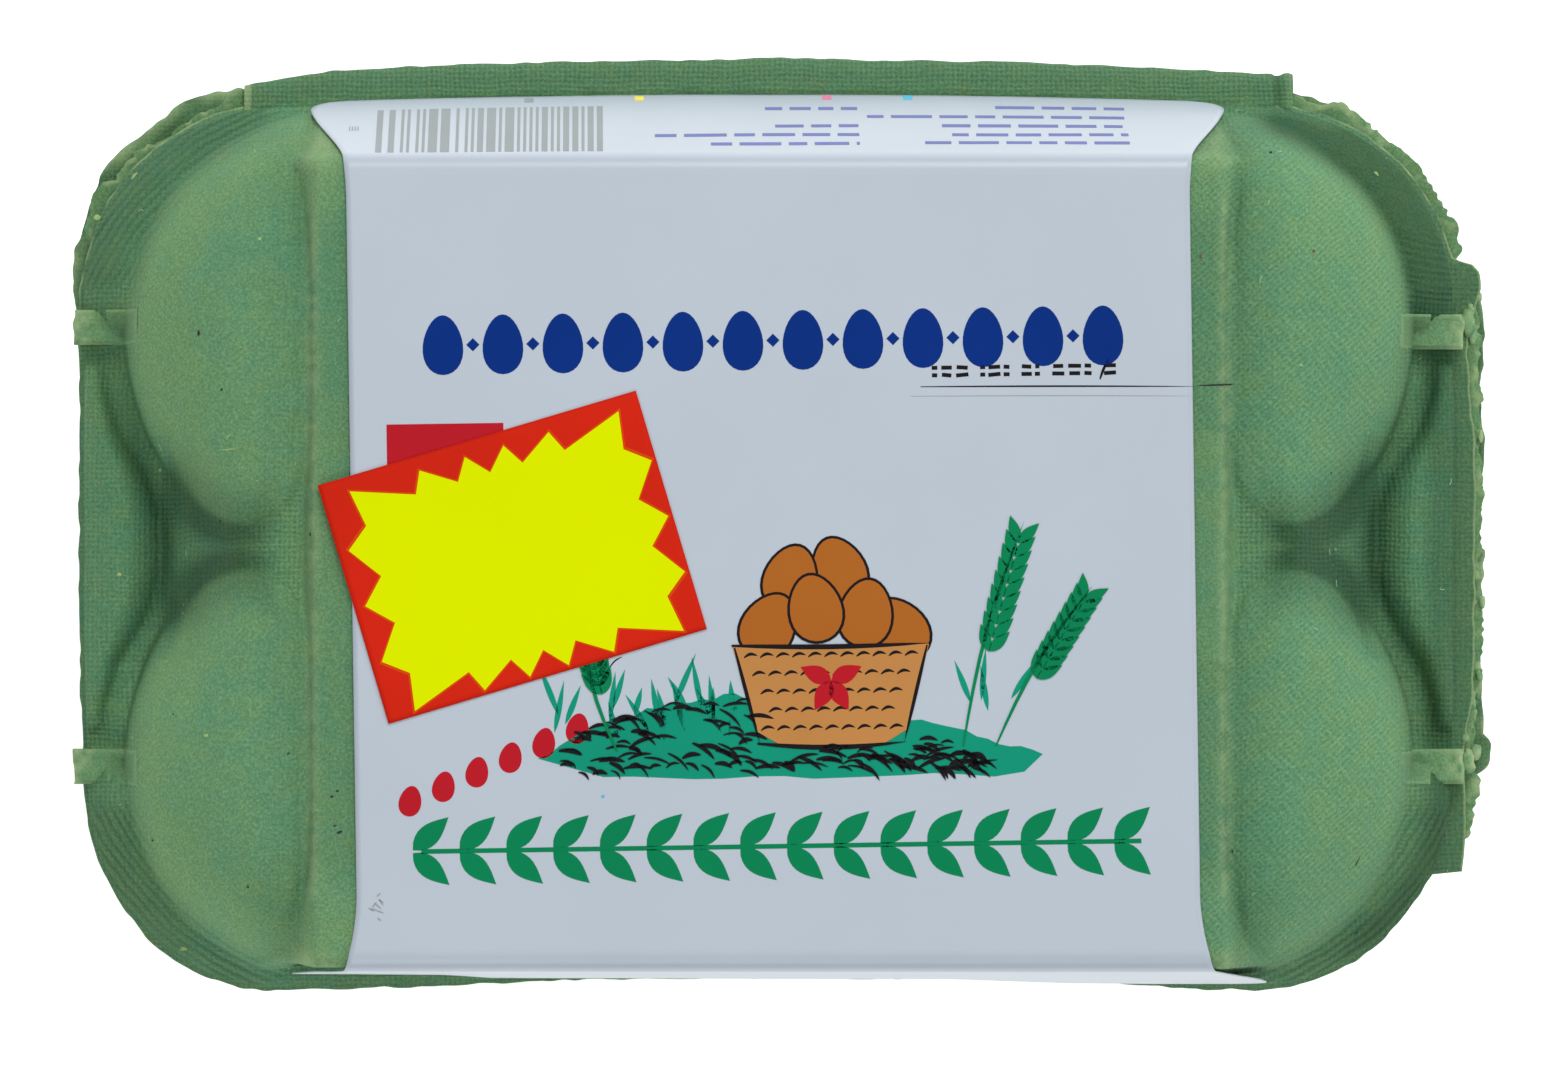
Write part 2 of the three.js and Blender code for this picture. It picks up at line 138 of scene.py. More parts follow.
# Short names for adding and linking nodes in one material
class Wiring:
    def __init__(self, name):
        self.material = bpy.data.materials.new(name)
        self.material.use_nodes = True
        self.tree = self.material.node_tree
        self.tree.nodes.clear()
        self.shader = self.tree.nodes.new("ShaderNodeBsdfPrincipled")
        output = self.tree.nodes.new("ShaderNodeOutputMaterial")
        self.tree.links.new(self.shader.outputs["BSDF"], output.inputs["Surface"])
        self.place = self.tree.nodes.new("ShaderNodeTexCoord").outputs["Object"]

    def link(self, source, target):
        if isinstance(source, bpy.types.NodeSocket):
            self.tree.links.new(source, target)
        else:
            target.default_value = source

    def noise(self, scale, detail=3.0, rough=0.55, vector=None):
        node = self.tree.nodes.new("ShaderNodeTexNoise")
        node.inputs["Scale"].default_value = scale
        node.inputs["Detail"].default_value = detail
        node.inputs["Roughness"].default_value = rough
        self.link(self.place if vector is None else vector, node.inputs["Vector"])
        return node.outputs["Fac"]

    def cells(self, scale, part="Distance"):
        node = self.tree.nodes.new("ShaderNodeTexVoronoi")
        node.inputs["Scale"].default_value = scale
        self.link(self.place, node.inputs["Vector"])
        return node.outputs[part]

    def math(self, operation, a, b=0.0, c=0.0, clamp=False):
        node = self.tree.nodes.new("ShaderNodeMath")
        node.operation = operation
        node.use_clamp = clamp
        for source, target in zip((a, b, c), node.inputs):
            self.link(source, target)
        return node.outputs[0]

    def plus(self, a, b):
        return self.math("ADD", a, b)

    def times(self, a, b):
        return self.math("MULTIPLY", a, b)

    def ramp(self, value, low, high, toLow=0.0, toHigh=1.0):
        node = self.tree.nodes.new("ShaderNodeMapRange")
        node.interpolation_type = "SMOOTHSTEP"
        for source, target in zip((value, low, high, toLow, toHigh), node.inputs):
            self.link(source, target)
        return node.outputs[0]

    def mix(self, amount, a, b, blend="MIX"):
        node = self.tree.nodes.new("ShaderNodeMix")
        node.data_type = "RGBA"
        node.blend_type = blend
        self.link(amount, node.inputs[0])
        self.link(a, node.inputs[6])
        self.link(b, node.inputs[7])
        return node.outputs[2]

    def attribute(self, name):
        node = self.tree.nodes.new("ShaderNodeAttribute")
        node.attribute_name = name
        return node.outputs["Fac"]

    def bump(self, height, distance, strength=1.0, normal=None):
        node = self.tree.nodes.new("ShaderNodeBump")
        node.inputs["Distance"].default_value = distance
        self.link(strength, node.inputs["Strength"])
        self.link(height, node.inputs["Height"])
        if normal is not None:
            self.link(normal, node.inputs["Normal"])
        return node.outputs[0]

    def finish(self, color, roughness, normal=None, specular=0.5):
        self.link(color, self.shader.inputs["Base Color"])
        self.link(roughness, self.shader.inputs["Roughness"])
        self.shader.inputs["Specular IOR Level"].default_value = specular
        if normal is not None:
            self.link(normal, self.shader.inputs["Normal"])
        return self.material


# Moulded pulp: felted fibres, the prints of the mould's wire mesh with painted shade in their pits, specks
# and yellowish flecks, painted shade set per point by each piece, and pale wear mixed with a painted
# highlight
pulp = dict(
    cool=(96, 152, 116),
    warm=(118, 157, 106),
    deep=(52, 100, 70),
    light=(136, 178, 142),
    yellow=(138, 166, 96),
    pale=(170, 190, 140),
    dark=(30, 52, 40),
    # Dark tone that painted shade multiplies into the colour
    paintedShading=(0.30, 0.36, 0.33, 1.0),
    meshPitch=0.54,
    meshDepth=0.00006,
    twillPitch=0.50,
    twillTurn=40.0,
    rowCentre=(40, 12),
    rowPitch=0.84,
    rowDepth=0.00009,
    fanCentre=(77, 62),
    fanPitch=0.74,
    feltDepth=0.00010,
)


def makePulp():
    w = Wiring("greenPulp")
    split = w.tree.nodes.new("ShaderNodeSeparateXYZ")
    w.link(w.place, split.inputs[0])
    wobble = w.times(w.noise(150.0, 2.0), 0.0010)
    middle = boxShift * millimetre
    plan = [w.math("SUBTRACT", split.outputs[axis], float(middle[axis])) for axis in (0, 1)]

    def wave(length, pitch):
        return w.math("SINE", w.times(w.plus(length, wobble), 2 * math.pi / (pitch * millimetre)))

    def ringsAbout(centre, pitch):
        aside = [w.math("SUBTRACT", w.math("ABSOLUTE", plan[k]), centre[k] * millimetre) for k in (0, 1)]
        squares = [w.times(side, side) for side in aside]
        return wave(w.math("SQRT", w.plus(*squares)), pitch)

    def stripes(alongX, alongY, pitch):
        return wave(w.plus(w.times(plan[0], alongX), w.times(plan[1], alongY)), pitch)

    acrossMesh, upMesh = (wave(length, pulp["meshPitch"]) for length in plan)
    meshPrint = w.times(w.plus(acrossMesh, upMesh), 0.5)
    sine, cosine = (part(math.radians(pulp["twillTurn"])) for part in (math.sin, math.cos))
    twillPrint = w.plus(w.times(stripes(sine, -cosine, pulp["twillPitch"]), 0.6),
                        w.times(stripes(cosine, sine, pulp["twillPitch"] * 1.6), 0.4))
    faintMesh = w.times(meshPrint, 0.3)
    rowPrint = w.plus(ringsAbout(pulp["rowCentre"], pulp["rowPitch"]), faintMesh)
    fanPrint = w.plus(ringsAbout(pulp["fanCentre"], pulp["fanPitch"]), faintMesh)
    felt = w.noise(3400.0, 3.0, 0.6)
    clumps = w.noise(1500.0, 3.0, 0.6)
    patches = w.noise(320.0, 3.0, 0.55)
    tint = w.plus(w.attribute("tint"), w.ramp(patches, 0.3, 0.7, -0.35, 0.35))
    color = w.mix(w.ramp(tint, -1.0, 1.0), linear(*pulp["cool"]), linear(*pulp["warm"]))
    color = w.mix(w.ramp(felt, 0.36, 0.60, 0.38, 0.0), color, linear(*pulp["deep"]))
    color = w.mix(w.ramp(felt, 0.52, 0.74, 0.0, 0.34), color, linear(*pulp["light"]))
    color = w.mix(w.ramp(clumps, 0.54, 0.76, 0.0, 0.22), color, linear(*pulp["yellow"]))
    prints = (
        ("imprint", meshPrint, 0.40, pulp["meshDepth"]),
        ("twill", twillPrint, 0.30, pulp["meshDepth"] * 0.4),
        ("rows", rowPrint, 0.50, pulp["rowDepth"]),
        ("fanned", fanPrint, 0.40, pulp["rowDepth"]),
    )
    normal = None
    # Each print's pits are darkened with painted shade as well as bumped
    for name, printed, shade, depth in prints:
        share = w.attribute(name)
        pits = w.times(w.ramp(printed, -0.95, 0.4, shade, 0.0), share)
        color = w.mix(pits, color, linear(*pulp["deep"]))
        normal = w.bump(printed, depth, share, normal)
    chosen = w.ramp(w.cells(260.0, "Color"), 0.86, 0.88)
    spots = w.times(w.ramp(w.cells(260.0), 0.04, 0.08, 1.0, 0.0), chosen)
    color = w.mix(w.times(spots, 0.7), color, linear(*pulp["dark"]))
    # Painted shade: the colour is multiplied down towards the dark tone by the shade value that each piece
    # sets on its points
    color = w.mix(w.attribute("hollow"), color, w.mix(1.0, color, pulp["paintedShading"], "MULTIPLY"))
    # Pale wear, mixed with a painted highlight along the ridge's edge
    color = w.mix(w.attribute("worn"), color, linear(*pulp["pale"]))
    grain = w.plus(felt, w.times(clumps, 0.8))
    normal = w.bump(grain, pulp["feltDepth"], 0.8, normal)
    return w.finish(color, 0.93, normal, 0.2)


# The rim's bow, stronger along part of the front, and the sections of the panel with its two walls
frontEdge = dict(x=[-34, -22, 37, 46], more=[0, 0.48, 0.48, 0])
frontWall = dict(x=[-60, -48, -35, -30, 0, 20, 33, 42, 60],
                 pulled=[1.3, 1.3, 1.2, 0.85, 0.75, 0.7, 0.2, 0.1, 0.1], behindLabel=0.3)


def rimBow(x):
    return np.maximum(0, rim["bow"] - rim["bowRate"] * x * x)


def edgeBow(x, y):
    return rimBow(x) + np.interp(x, frontEdge["x"], frontEdge["more"]) * smooth(0, -30, y)


# The front wall stands steeper at the left, and the label's flap hangs out over the edge at the right
def wallPull(x, y, forLabel):
    pulled = np.interp(x, frontWall["x"], frontWall["pulled"])
    return np.where(y < 0, pulled + (0 if forLabel else frontWall["behindLabel"]), rimBow(x))


def lidLean(z):
    return 1 - np.clip((z - level["lidTop"]) / (level["panel"] - level["lidTop"]), 0, 1)


def wallOf(side):
    slope = math.radians(side["angle"])
    start = side["edge"] - panel["fold"] * math.tan(slope / 2)
    return dict(slope=slope, start=start, end=start + panel["fold"] * math.sin(slope),
                turned=start + panel["fold"] * slope)


back, front = wallOf(walls["back"]), wallOf(walls["front"])


def sectionPoint(developed, offset):
    pick = lambda key: np.where(developed > 0, back[key], front[key])
    s = np.abs(developed)
    reach = panel["fold"] + offset
    turn = np.clip((s - pick("start")) / panel["fold"], 0, pick("slope"))
    along = np.maximum(0, s - pick("turned"))
    y = np.minimum(s, pick("start")) + reach * np.sin(turn) + along * np.cos(pick("slope"))
    z = level["panel"] - panel["fold"] + reach * np.cos(turn) - along * np.sin(pick("slope"))
    return np.sign(developed) * y, z


# Heights of the lid's parts above its flange
rise = level["panel"] - level["lidTop"]
dome = dict(x=48.8, y=24.6, length=21.5, depth=22.5, height=24.7, power=2.65, flank=0.55,
            inward=([48.8, 55.5, 58.5, 61.5, 64.2, 69.7], [60, 60, 42, 30, 26.3, 27]), fuller=1.6)
saddle = dict(x=48.9, top=22.7, fall=0.06, start=57.2, steep=2.35, turn=2.4, masked=(14, 24))
foot = dict(x=56.0, y=12.0, left=6.9, right=8.6, reach=9.6, step=0.9, fade=(58, 63))
blend = dict(dome=1.6, saddle=1.2, block=0.5)
lens = dict(crease=([0, 3, 5.6, 8, 10, 12.6, 17, 20], [65.9, 66.1, 66.8, 67.8, 69.0, 70.6, 72.0, 72.4]),
            foot=1.2, rise=3.6, crest=0.42, halfDepth=20.0)
band = dict(foot=0.9, rise=6.4, width=6.2, start=20.5, end=27.5, clear=(47, 57))
rib = dict(y=23.9, width=3.8, height=3.7)
groove = dict(x=50.0, width=0.9, depth=0.24)


def blockHeight(x, y):
    pick = lambda key: np.where(y > 0, back[key], front[key])
    out = np.abs(y)
    slope, start, end = pick("slope"), pick("start"), pick("end")
    bent = np.clip(out - start, 0, end - start)
    inFold = panel["fold"] - np.sqrt(np.maximum(0, panel["fold"] ** 2 - bent ** 2))
    down = np.where(out > end, panel["fold"] * (1 - np.cos(slope)) + (out - end) * np.tan(slope), inFold)
    return rise - down - np.maximum(0, x - panel["halfLength"]) * panel["endFall"]


def domeReach(x, y):
    depth = np.where(y < dome["y"], np.interp(x, *dome["inward"]), dome["depth"])
    return np.hypot(np.maximum(0, x - dome["x"]) / dome["length"], (y - dome["y"]) / depth)


# Share of the way out over the round foot of a dome's inner end
def footReach(x, y):
    wide = np.where(x < foot["x"], foot["left"], foot["right"])
    return np.where(y < foot["y"], np.hypot((x - foot["x"]) / wide, (y - foot["y"]) / foot["reach"]), 0)


def domeHeight(x, y):
    besidePanel = smooth(25, 34, y) * smooth(49, 51.5, x) * (1 - smooth(52, 62, x))
    power = dome["power"] + dome["fuller"] * besidePanel
    swollen = dome["height"] * (1 - np.minimum(domeReach(x, y), 1) ** power) ** dome["flank"]
    past = smooth(0.86, 1.12, footReach(x, y)) * (1 - smooth(*foot["fade"], x))
    return swollen - foot["step"] * past


def saddleHeight(x, y):
    gentle = saddle["top"] - saddle["fall"] * np.maximum(0, x - saddle["x"])
    edgeHeight = saddle["top"] - saddle["fall"] * (saddle["start"] - saddle["x"])
    steep = edgeHeight - saddle["steep"] * (x - saddle["start"])
    return np.maximum(0, -softMax(-gentle, -steep, saddle["turn"])) * (1 - smooth(*saddle["masked"], y))


def lensHeight(x, y):
    crease = np.interp(y, *lens["crease"])
    across = np.clip((x - crease) / (rim["halfLength"] - crease), 0, 1)
    climb = np.where(across < lens["crest"], across / lens["crest"], (1 - across) / (1 - lens["crest"]))
    along = np.sqrt(np.maximum(0, 1 - (y / lens["halfDepth"]) ** 2))
    return lens["foot"] + lens["rise"] * np.sin(climb * math.pi / 2) * along


def bandHeight(x, y):
    centreX, centreY = rim["halfLength"] - rim["corner"], rim["halfDepth"] - rim["corner"]
    past = np.hypot(np.maximum(0, x - centreX), np.maximum(0, y - centreY))
    inset = np.clip((rim["corner"] - past) / band["width"], 0, 1)
    turn = smooth(band["start"], band["end"], y)
    low = lens["foot"] + (band["foot"] - lens["foot"]) * turn
    return low + band["rise"] * np.sin(inset * math.pi / 2) * turn * smooth(*band["clear"], x)


# A faint groove runs along the ridge beside each dome
def grooveDepth(x, y):
    away = np.abs(x - groove["x"]) / groove["width"]
    return groove["depth"] * np.exp(-(away ** 2)) * (1 - smooth(31, 37, y)) * smooth(9, 13, y)


def lidHeight(planX, planY):
    x, y = np.abs(planX), np.abs(planY)
    bulge = softMax(domeHeight(x, y), saddleHeight(x, y), blend["saddle"])
    height = softMax(bandHeight(x, y), bulge, blend["dome"])
    height = np.where(y < lens["halfDepth"], np.maximum(height, lensHeight(x, y)), height)
    height = softMax(height, blockHeight(x, planY), blend["block"])
    return height - grooveDepth(x, y)


# Outline of the rim by length along it from the middle of the right end, anticlockwise
centreX, centreY = rim["halfLength"] - rim["corner"], rim["halfDepth"] - rim["corner"]
outlineSteps = 90
arcTurns = np.concatenate([np.linspace(q, q + 90, outlineSteps) for q in (0, 90, 180, 270)])
arcCentres = np.repeat([(centreX, centreY), (-centreX, centreY), (-centreX, -centreY), (centreX, -centreY)],
                       outlineSteps, axis=0)
outlineNormals = np.stack([np.cos(np.radians(arcTurns)), np.sin(np.radians(arcTurns))], 1)
outlinePoints = arcCentres + outlineNormals * rim["corner"]
outlinePoints = np.vstack([[rim["halfLength"], 0], outlinePoints, [rim["halfLength"], 0]])
outlineNormals = np.vstack([[1, 0], outlineNormals, [1, 0]])
outlineLengths = np.concatenate([[0], np.cumsum(np.hypot(*np.diff(outlinePoints, axis=0).T))])
outlineTotal = outlineLengths[-1]


def rimInset(x, y):
    past = np.hypot(np.maximum(0, x - centreX), np.maximum(0, y - centreY))
    straight = np.minimum(rim["halfLength"] - x, rim["halfDepth"] - y)
    return np.where((x > centreX) & (y > centreY), rim["corner"] - past, straight)


rimDents = [dict(x=-74.5, y=-31, reach=13, by=0.65), dict(x=70.5, y=-38.5, reach=14, by=0.75)]


def rimPoint(along, grow):
    q = np.mod(along, outlineTotal)
    at = lambda table: np.stack([np.interp(q, outlineLengths, table[:, k]) for k in (0, 1)], -1)
    edge = at(outlinePoints)
    away = lambda d: np.hypot(edge[..., 0] - d["x"], edge[..., 1] - d["y"]) / d["reach"]
    sunk = sum(d["by"] * np.exp(-(away(d) ** 2)) for d in rimDents)
    return edge + at(outlineNormals) * (np.asarray(grow) - sunk)[..., None]


# Lid: a grid over the plan, drawn together where it is steep, raised to the lid's height
lid = dict(columns=392, rows=238, coarse=4, relaxCoarse=420, relaxFine=30, underLabel=0.55, edgeInset=0.6,
           ease=0.36, thickness=1.7)


def coonsGrid(columns, rows):
    cornerAt = centreY + math.pi * rim["corner"] / 4
    half = outlineTotal / 2
    u, v = np.linspace(0, 1, columns), np.linspace(0, 1, rows)
    inset = -lid["edgeInset"]
    side = lambda start, end, t: rimPoint(start + (end - start) * t, inset)
    frontSide = side(half + cornerAt, outlineTotal - cornerAt, u)
    backSide = side(half - cornerAt, cornerAt, u)
    leftSide = side(half + cornerAt, half - cornerAt, v)
    rightSide = side(-cornerAt, cornerAt, v)
    U, V = u[None, :, None], v[:, None, None]
    flat = (1 - V) * frontSide[None] + V * backSide[None]
    flat = flat + (1 - U) * leftSide[:, None] + U * rightSide[:, None]
    corners = ((1 - U) * (1 - V) * frontSide[0] + U * (1 - V) * frontSide[-1]
               + (1 - U) * V * backSide[0] + U * V * backSide[-1])
    return flat - corners


def relax(plan, steps):
    for _ in range(steps):
        height = lidHeight(plan[..., 0], plan[..., 1])
        covered = (np.abs(plan[..., 0]) < 44) & (height > 4)
        solid = np.dstack([plan, height])
        weight = np.where(covered, lid["underLabel"], 1.0)
        total = np.zeros(plan[1:-1, 1:-1].shape)
        sums = np.zeros(plan[1:-1, 1:-1].shape[:2])
        here = solid[1:-1, 1:-1]
        for dr, dc in ((0, 1), (0, -1), (1, 0), (-1, 0)):
            rows = slice(1 + dr, plan.shape[0] - 1 + dr)
            columns = slice(1 + dc, plan.shape[1] - 1 + dc)
            pull = np.linalg.norm(solid[rows, columns] - here, axis=-1)
            pull = pull * (weight[rows, columns] + weight[1:-1, 1:-1]) / 2
            total += plan[rows, columns] * pull[..., None]
            sums += pull
        plan[1:-1, 1:-1] += lid["ease"] * (total / sums[..., None] - plan[1:-1, 1:-1])
    return plan


def refine(plan, columns, rows):
    u = np.linspace(0, plan.shape[1] - 1, columns)
    v = np.linspace(0, plan.shape[0] - 1, rows)
    oldColumns, oldRows = np.arange(plan.shape[1]), np.arange(plan.shape[0])
    across = np.stack([[np.interp(u, oldColumns, row[:, k]) for row in plan] for k in (0, 1)], -1)
    down = [np.stack([np.interp(v, oldRows, across[:, c, k]) for k in (0, 1)], -1) for c in range(columns)]
    return np.stack(down, 1)


# The lid's edge: a straight strip along the right end, rough all round
strip = dict(
    y=[-35.5, -31.7, -25.8, -22.1, -18.9, -15.6, -6.4, 2.9, 11.7, 16, 22, 24, 26, 28, 29.9, 30.9, 31.2],
    x=[75.5, 75.9, 75.9, 75.85, 76.45, 76.7, 76.95, 76.95, 76.9, 76.6, 76.3, 76.2, 77, 77.6, 77.5, 76.5,
       74.8],
)


def lumpsAlong(along, size, seed):
    return lumps(along, 0 * along, size, seed)


def roughEdge(along, seed, amount):
    return amount * (0.55 * lumpsAlong(along, 1.3, seed) + 0.45 * lumpsAlong(along, 3.7, seed + 1))


# A ring of plan points bowed with the rim and set at a height
def raised(ring, z):
    return np.stack([ring[:, 0], ring[:, 1] + edgeBow(ring[:, 0], ring[:, 1]), z], -1)


# Creased corners of the panel, at the back and at the front
def creasedCorner(x, y):
    ax = np.abs(x)
    cornerBack = np.exp(-(((ax - 48.2) / 2.0) ** 2) - (((y - 42.5) / 2.6) ** 2))
    return cornerBack + np.exp(-(((ax - 48.8) / 2.6) ** 2) - (((y + 44.4) / 1.2) ** 2))


# How strongly each part of the lid gets painted shade as a recess, and how much more towards the right end
paintedShading = dict(low=(0.10, 0.16), corner=(0.34, -0.12), inner=(0.18, 0.10), valley=(0.22, 0.02),
              nearEdge=(0.12, 0.36), nearHinge=(0.15, 0.15), channel=0.6, saddle=0.2, crease=0.6, beside=0.15,
              foot=0.55, block=0.26)
creaseShade = dict(y=[0, 4, 9, 13, 17, 20, 23], share=[1, 1, 0.4, 0.15, 0.15, 0.2, 0], moreRight=0.3,
                   width=1.0)
valleyShade = dict(x=59, reach=4.0)
# Painted highlight along the ridge's edge beside each dome
ridgeHighlight = dict(x=48.8, reach=0.7, amount=0.3)
footSpread = 1.5


# How the lid's surface looks from place to place: mould's mesh, diagonal rows, painted shade in the recesses,
# pale wear with a painted highlight along the ridge, and tint
def lidLooks(x, y, height):
    ax, ay = np.abs(x), np.abs(y)
    right = smooth(-20, 20, x)
    towards = lambda part: paintedShading[part][0] + paintedShading[part][1] * right
    blocks = blockHeight(ax, y)
    reach = domeReach(ax, ay)
    inside = 1 - smooth(0.93, 1.05, footReach(ax, ay))
    onDome = (1 - smooth(0.84, 1.03, reach)) * inside
    onBlock = smooth(-1.2, -0.2, blocks - height) * smooth(rise - 4, rise - 2, height)
    low = (1 - onDome) * (1 - onBlock)
    inSaddle = low * (1 - smooth(64.5, 66, ax)) * (1 - smooth(8, 12, ay))
    creaseShare = np.interp(ay, creaseShade["y"], creaseShade["share"])
    more = creaseShade["moreRight"] * right
    creaseShare = creaseShare + more * smooth(8, 12, ay) * (1 - smooth(18, 23, ay))
    crease = np.exp(-(((ax - np.interp(ay, *lens["crease"])) / creaseShade["width"]) ** 2)) * creaseShare
    corner = low * smooth(26.5, 30, ay) * smooth(50, 58, ax)
    topRight = right * smooth(20, 24, y)
    rows = corner * (0.8 + 0.4 * lumps(x, y, 3.5, 16)) * (1 - topRight)
    fanned = 0.5 * low * topRight * smooth(25, 27, y) * (1 - smooth(32, 36, y)) * smooth(67, 69, x)
    inset = rimInset(ax, ay)
    channel = low * topRight * smooth(1.0, 2.6, inset) * (1 - smooth(5.0, 7.5, inset)) * smooth(50, 56, x)
    nearEdge = low * (1 - smooth(2.2, 5.0, inset)) * smooth(60, 66, ax)
    beside = smooth(5.0, 0.0, np.abs(ay - rib["y"]) - rib["width"] / 2) * smooth(66, 69, ax)
    inner = onDome * (1 - smooth(50, 57, ax))
    around = np.hypot((ax - foot["x"]) / np.where(ax < foot["x"], foot["left"], foot["right"] + footSpread),
                      np.maximum(0, foot["y"] - ay) / foot["reach"])
    footShade = smooth(0.35, 1.0, around) * (1 - smooth(1.12, 1.4, around)) * smooth(51.5, 55, ax)
    footShade = footShade * (1 - smooth(7, 13, ay)) * (1 - smooth(62, 67, ax))
    imprint = low * (0.75 - 0.6 * corner) + onDome * (0.06 + 0.35 * footShade)
    imprint = imprint + 0.3 * inner + 0.35 * beside * low
    imprint = np.clip(imprint + 0.3 * crease + 0.2 * inSaddle, 0, 1) * (1 - onBlock)
    nearHinge = low * smooth(38, 42, y) * smooth(52, 56, ax) * (1 - smooth(62, 66, ax))
    valley = low * np.exp(-(((ax - valleyShade["x"]) / valleyShade["reach"]) ** 2)) * (1 - smooth(6, 10, ay))
    # Painted shade: darker in the low ground, corners, channel, valley, crease, beside the ribs, near the
    # edge and hinge and round the domes' feet, more so towards the right end
    hollow = low * towards("low") + corner * towards("corner") + paintedShading["channel"] * channel
    hollow = hollow + towards("inner") * inner + paintedShading["saddle"] * inSaddle * smooth(53, 57, ax)
    hollow = hollow + towards("valley") * valley + paintedShading["crease"] * crease + paintedShading["beside"] * beside * low
    hollow = hollow + nearEdge * towards("nearEdge") + nearHinge * towards("nearHinge")
    hollow = hollow + paintedShading["foot"] * footShade
    # Painted shade on the panel's block too, less where it turns towards back and front
    onWalls = paintedShading["block"] * onBlock * (1 - 0.85 * smooth(33, 38, ay))
    hollow = np.clip(hollow, 0, 1) * (1 - onBlock) + onWalls
    creased = creasedCorner(x, y)
    # Painted highlight: a pale line along the ridge's edge; with the creased corners it goes into the same
    # pale mix as wear
    ridgeLine = ridgeHighlight["amount"] * np.exp(-(((ax - ridgeHighlight["x"]) / ridgeHighlight["reach"]) ** 2))
    ridgeLine = ridgeLine * (1 - smooth(36, 40, ay))
    worn = np.clip((0.3 * creased + ridgeLine) * (0.75 + 0.6 * lumps(x, y, 0.8, 17)), 0, 1)
    flank = onDome * smooth(0.45, 0.9, reach)
    tint = 0.3 * lumps(x, y, 17, 19) + 0.2 * lumps(x, y, 6, 20) + 0.6 * flank * (1 - right) + 0.5 * creased
    return dict(imprint=imprint, rows=rows, fanned=fanned, twill=onDome * (0.3 + 0.7 * right), hollow=hollow,
                worn=worn, tint=tint)


# The same for the rings of the lid's edge: painted shade, deeper towards the right end, and pale along the
# torn back corners and the straight strip
def edgeLooks(name, x, y, ring):
    if name == "hollow":
        return 0.4 + 0.3 * smooth(60, 70, x)
    if name != "worn":
        return np.full(len(x), dict(imprint=0.7).get(name, 0.0))
    torn = smooth(20, 30, y) * smooth(45, 55, np.abs(x))
    straight = smooth(75.2, 75.8, x)
    broken = np.clip(0.5 + 0.8 * lumps(x + y, x - y, 1.7, 24), 0, 1)
    pale = np.where(ring == 2, 0.7 * torn * broken + 0.5 * straight, 0.15 * (torn + straight) * (ring == 3))
    return 0.03 + pale


# The edge's rings: how far inside the rim, share of the strip's reach, and drop below the lid's top
edgeRings = [(-0.5, 0.0, 0.05), (-0.26, 1.0, 0.3), (0.0, 1.0, 0.42), (0.08, 1.0, 1.0), (0.0, 1.0, 1.5),
             (-0.35, 0.9, lid["thickness"]), (-3.4, 0, lid["thickness"])]


# Amount, size and seed of each part of the lid's relief
lidRelief = ((0.16, 9, 11), (0.10, 3.6, 12), (0.05, 1.3, 13))


# The lid's border, point by point: its place in the grid and its length along the outline
def lidBorder(index):
    rows, columns = index.shape
    border = np.concatenate([index[0, :], index[1:, -1], index[-1, -2::-1], index[-2:0:-1, 0]])
    cornerAt, half = centreY + math.pi * rim["corner"] / 4, outlineTotal / 2
    along = np.concatenate([
        np.linspace(half + cornerAt, outlineTotal - cornerAt, columns),
        np.linspace(outlineTotal - cornerAt, outlineTotal + cornerAt, rows)[1:],
        np.linspace(cornerAt, half - cornerAt, columns)[1:],
        np.linspace(half - cornerAt, half + cornerAt, rows)[1:-1],
    ])
    return border, along


